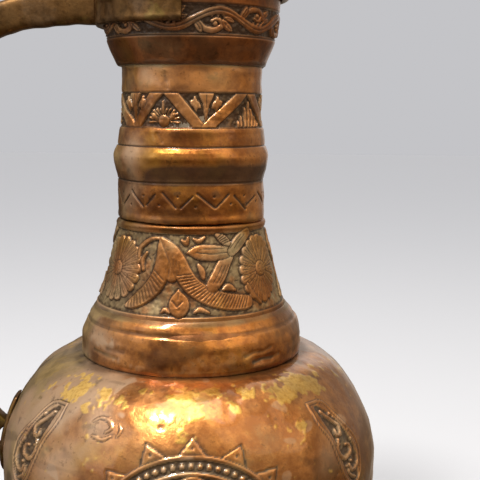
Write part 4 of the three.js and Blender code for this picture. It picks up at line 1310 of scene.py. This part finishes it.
def aimed(name, azimuth, elevation, distance, size, power, colour, size_y=None):
    """A light seen from the jug at an azimuth from -Y towards +X and an elevation, in degrees."""
    a, e = math.radians(azimuth), math.radians(elevation)
    target = Vector((0, 0, 0.28))
    place = target + distance * Vector((math.cos(e) * math.sin(a), -math.cos(e) * math.cos(a), math.sin(e)))
    return area(name, place, target, size, power, colour, size_y)


def put_lights():
    aimed("spark", -35, 58, 1.25, 0.2, 12.0, (1.0, 0.98, 0.96))
    aimed("left_window", -58, 24, 1.35, 0.42, 1.0, (0.92, 0.96, 1.0), 0.8)
    aimed("warm_key", 48, 34, 1.4, 1.1, 3.2, (1.0, 0.86, 0.64), 1.0)
    aimed("top", 10, 80, 1.5, 0.9, 9.0, (1.0, 0.95, 0.88))
    world = bpy.data.worlds.new("studio")
    bpy.context.scene.world = world
    world.use_nodes = True
    tree = world.node_tree
    tree.nodes.clear()
    link = tree.links.new
    out = tree.nodes.new("ShaderNodeOutputWorld")
    ray = tree.nodes.new("ShaderNodeLightPath")

    def background(colour=None, strength=1.0):
        node = tree.nodes.new("ShaderNodeBackground")
        node.inputs[1].default_value = strength
        if colour:
            node.inputs[0].default_value = (*colour, 1)
        return node

    def ramp(value, low, high, stops):
        spread = tree.nodes.new("ShaderNodeMapRange")
        spread.inputs[1].default_value, spread.inputs[2].default_value = low, high
        link(value, spread.inputs[0])
        node = tree.nodes.new("ShaderNodeValToRGB")
        link(spread.outputs[0], node.inputs[0])
        band = node.color_ramp
        band.interpolation = "EASE"
        for index, (at, colour) in enumerate(stops):
            part = (at - low) / (high - low)
            element = band.elements[index] if index < 2 else band.elements.new(part)
            element.position = part
            element.color = (*colour, 1)
        return node.outputs[0]

    direction = tree.nodes.new("ShaderNodeTexCoord")
    split = tree.nodes.new("ShaderNodeSeparateXYZ")
    link(direction.outputs["Generated"], split.inputs[0])
    back = tree.nodes.new("ShaderNodeMath")
    back.operation = "MULTIPLY"
    back.inputs[1].default_value = -1
    link(split.outputs[1], back.inputs[0])
    azimuth = tree.nodes.new("ShaderNodeMath")
    azimuth.operation = "ARCTAN2"
    link(split.outputs[0], azimuth.inputs[0])
    link(back.outputs[0], azimuth.inputs[1])
    turn = math.radians
    around = ramp(azimuth.outputs[0], -math.pi, math.pi, [
        (-math.pi, (0.30, 0.25, 0.20)),
        (math.pi, (0.30, 0.25, 0.20)),
        (turn(-150), (0.09, 0.07, 0.05)),
        (turn(-118), (0.22, 0.19, 0.16)),
        (turn(-88), (0.60, 0.56, 0.52)),
        (turn(-40), (0.52, 0.48, 0.42)),
        (turn(-8), (0.44, 0.38, 0.29)),
        (turn(22), (0.52, 0.43, 0.30)),
        (turn(80), (0.48, 0.38, 0.25)),
        (turn(122), (0.42, 0.36, 0.28)),
        (turn(146), (0.36, 0.31, 0.25)),
        (turn(160), (0.90, 0.85, 0.80)),
    ])
    up = ramp(split.outputs[2], -1, 1, [
        (-1, (0.24, 0.19, 0.14)),
        (1, (2.1, 2.1, 2.1)),
        (-0.28, (0.40, 0.34, 0.27)),
        (-0.04, (0.80, 0.77, 0.75)),
        (0.12, (1.0, 1.0, 1.0)),
        (0.5, (1.05, 1.05, 1.05)),
    ])
    product = tree.nodes.new("ShaderNodeMix")
    product.data_type = "RGBA"
    product.blend_type = "MULTIPLY"
    product.inputs[0].default_value = 1
    link(around, product.inputs[6])
    link(up, product.inputs[7])
    mirrored = background()
    link(product.outputs[2], mirrored.inputs[0])
    soft, seen = background((0.86, 0.86, 0.88)), background((0.551, 0.551, 0.572))
    for_camera, for_gloss = (tree.nodes.new("ShaderNodeMixShader") for _ in range(2))
    link(ray.outputs["Is Camera Ray"], for_camera.inputs[0])
    link(soft.outputs[0], for_camera.inputs[1])
    link(seen.outputs[0], for_camera.inputs[2])
    link(ray.outputs["Is Glossy Ray"], for_gloss.inputs[0])
    link(for_camera.outputs[0], for_gloss.inputs[1])
    link(mirrored.outputs[0], for_gloss.inputs[2])
    link(for_gloss.outputs[0], out.inputs[0])
    bpy.context.scene.view_settings.view_transform = "Standard"
    bpy.context.scene.view_settings.look = "None"


def put_floor():
    """A large plain pale floor, grey like the pale surroundings."""
    size = 6000.0
    mesh = bpy.data.meshes.new("floor")
    corners = [(-size, -size, -0.3), (size, -size, -0.3), (size, size, -0.3), (-size, size, -0.3)]
    mesh.from_pydata([Vector(c) * MM for c in corners], [], [(0, 1, 2, 3)])
    floor = bpy.data.objects.new("floor", mesh)
    bpy.context.scene.collection.objects.link(floor)
    material = bpy.data.materials.new("floor")
    material.use_nodes = True
    shader = material.node_tree.nodes["Principled BSDF"]
    shader.inputs["Base Color"].default_value = (0.64, 0.64, 0.65, 1)
    shader.inputs["Roughness"].default_value = 0.9
    shader.inputs["Specular IOR Level"].default_value = 0.1
    mesh.materials.append(material)
    floor.visible_glossy = False


# ---------------------------------------------------------------- everything
put_camera()
put_lights()
put_floor()
build_body()
build_foot()
build_neck_flare()
build_collar()
build_neck_tube()
build_mouth_cup()
build_handle()
build_clasp()
build_foot_plate()
build_rivets()
build_lid()
carry_over()
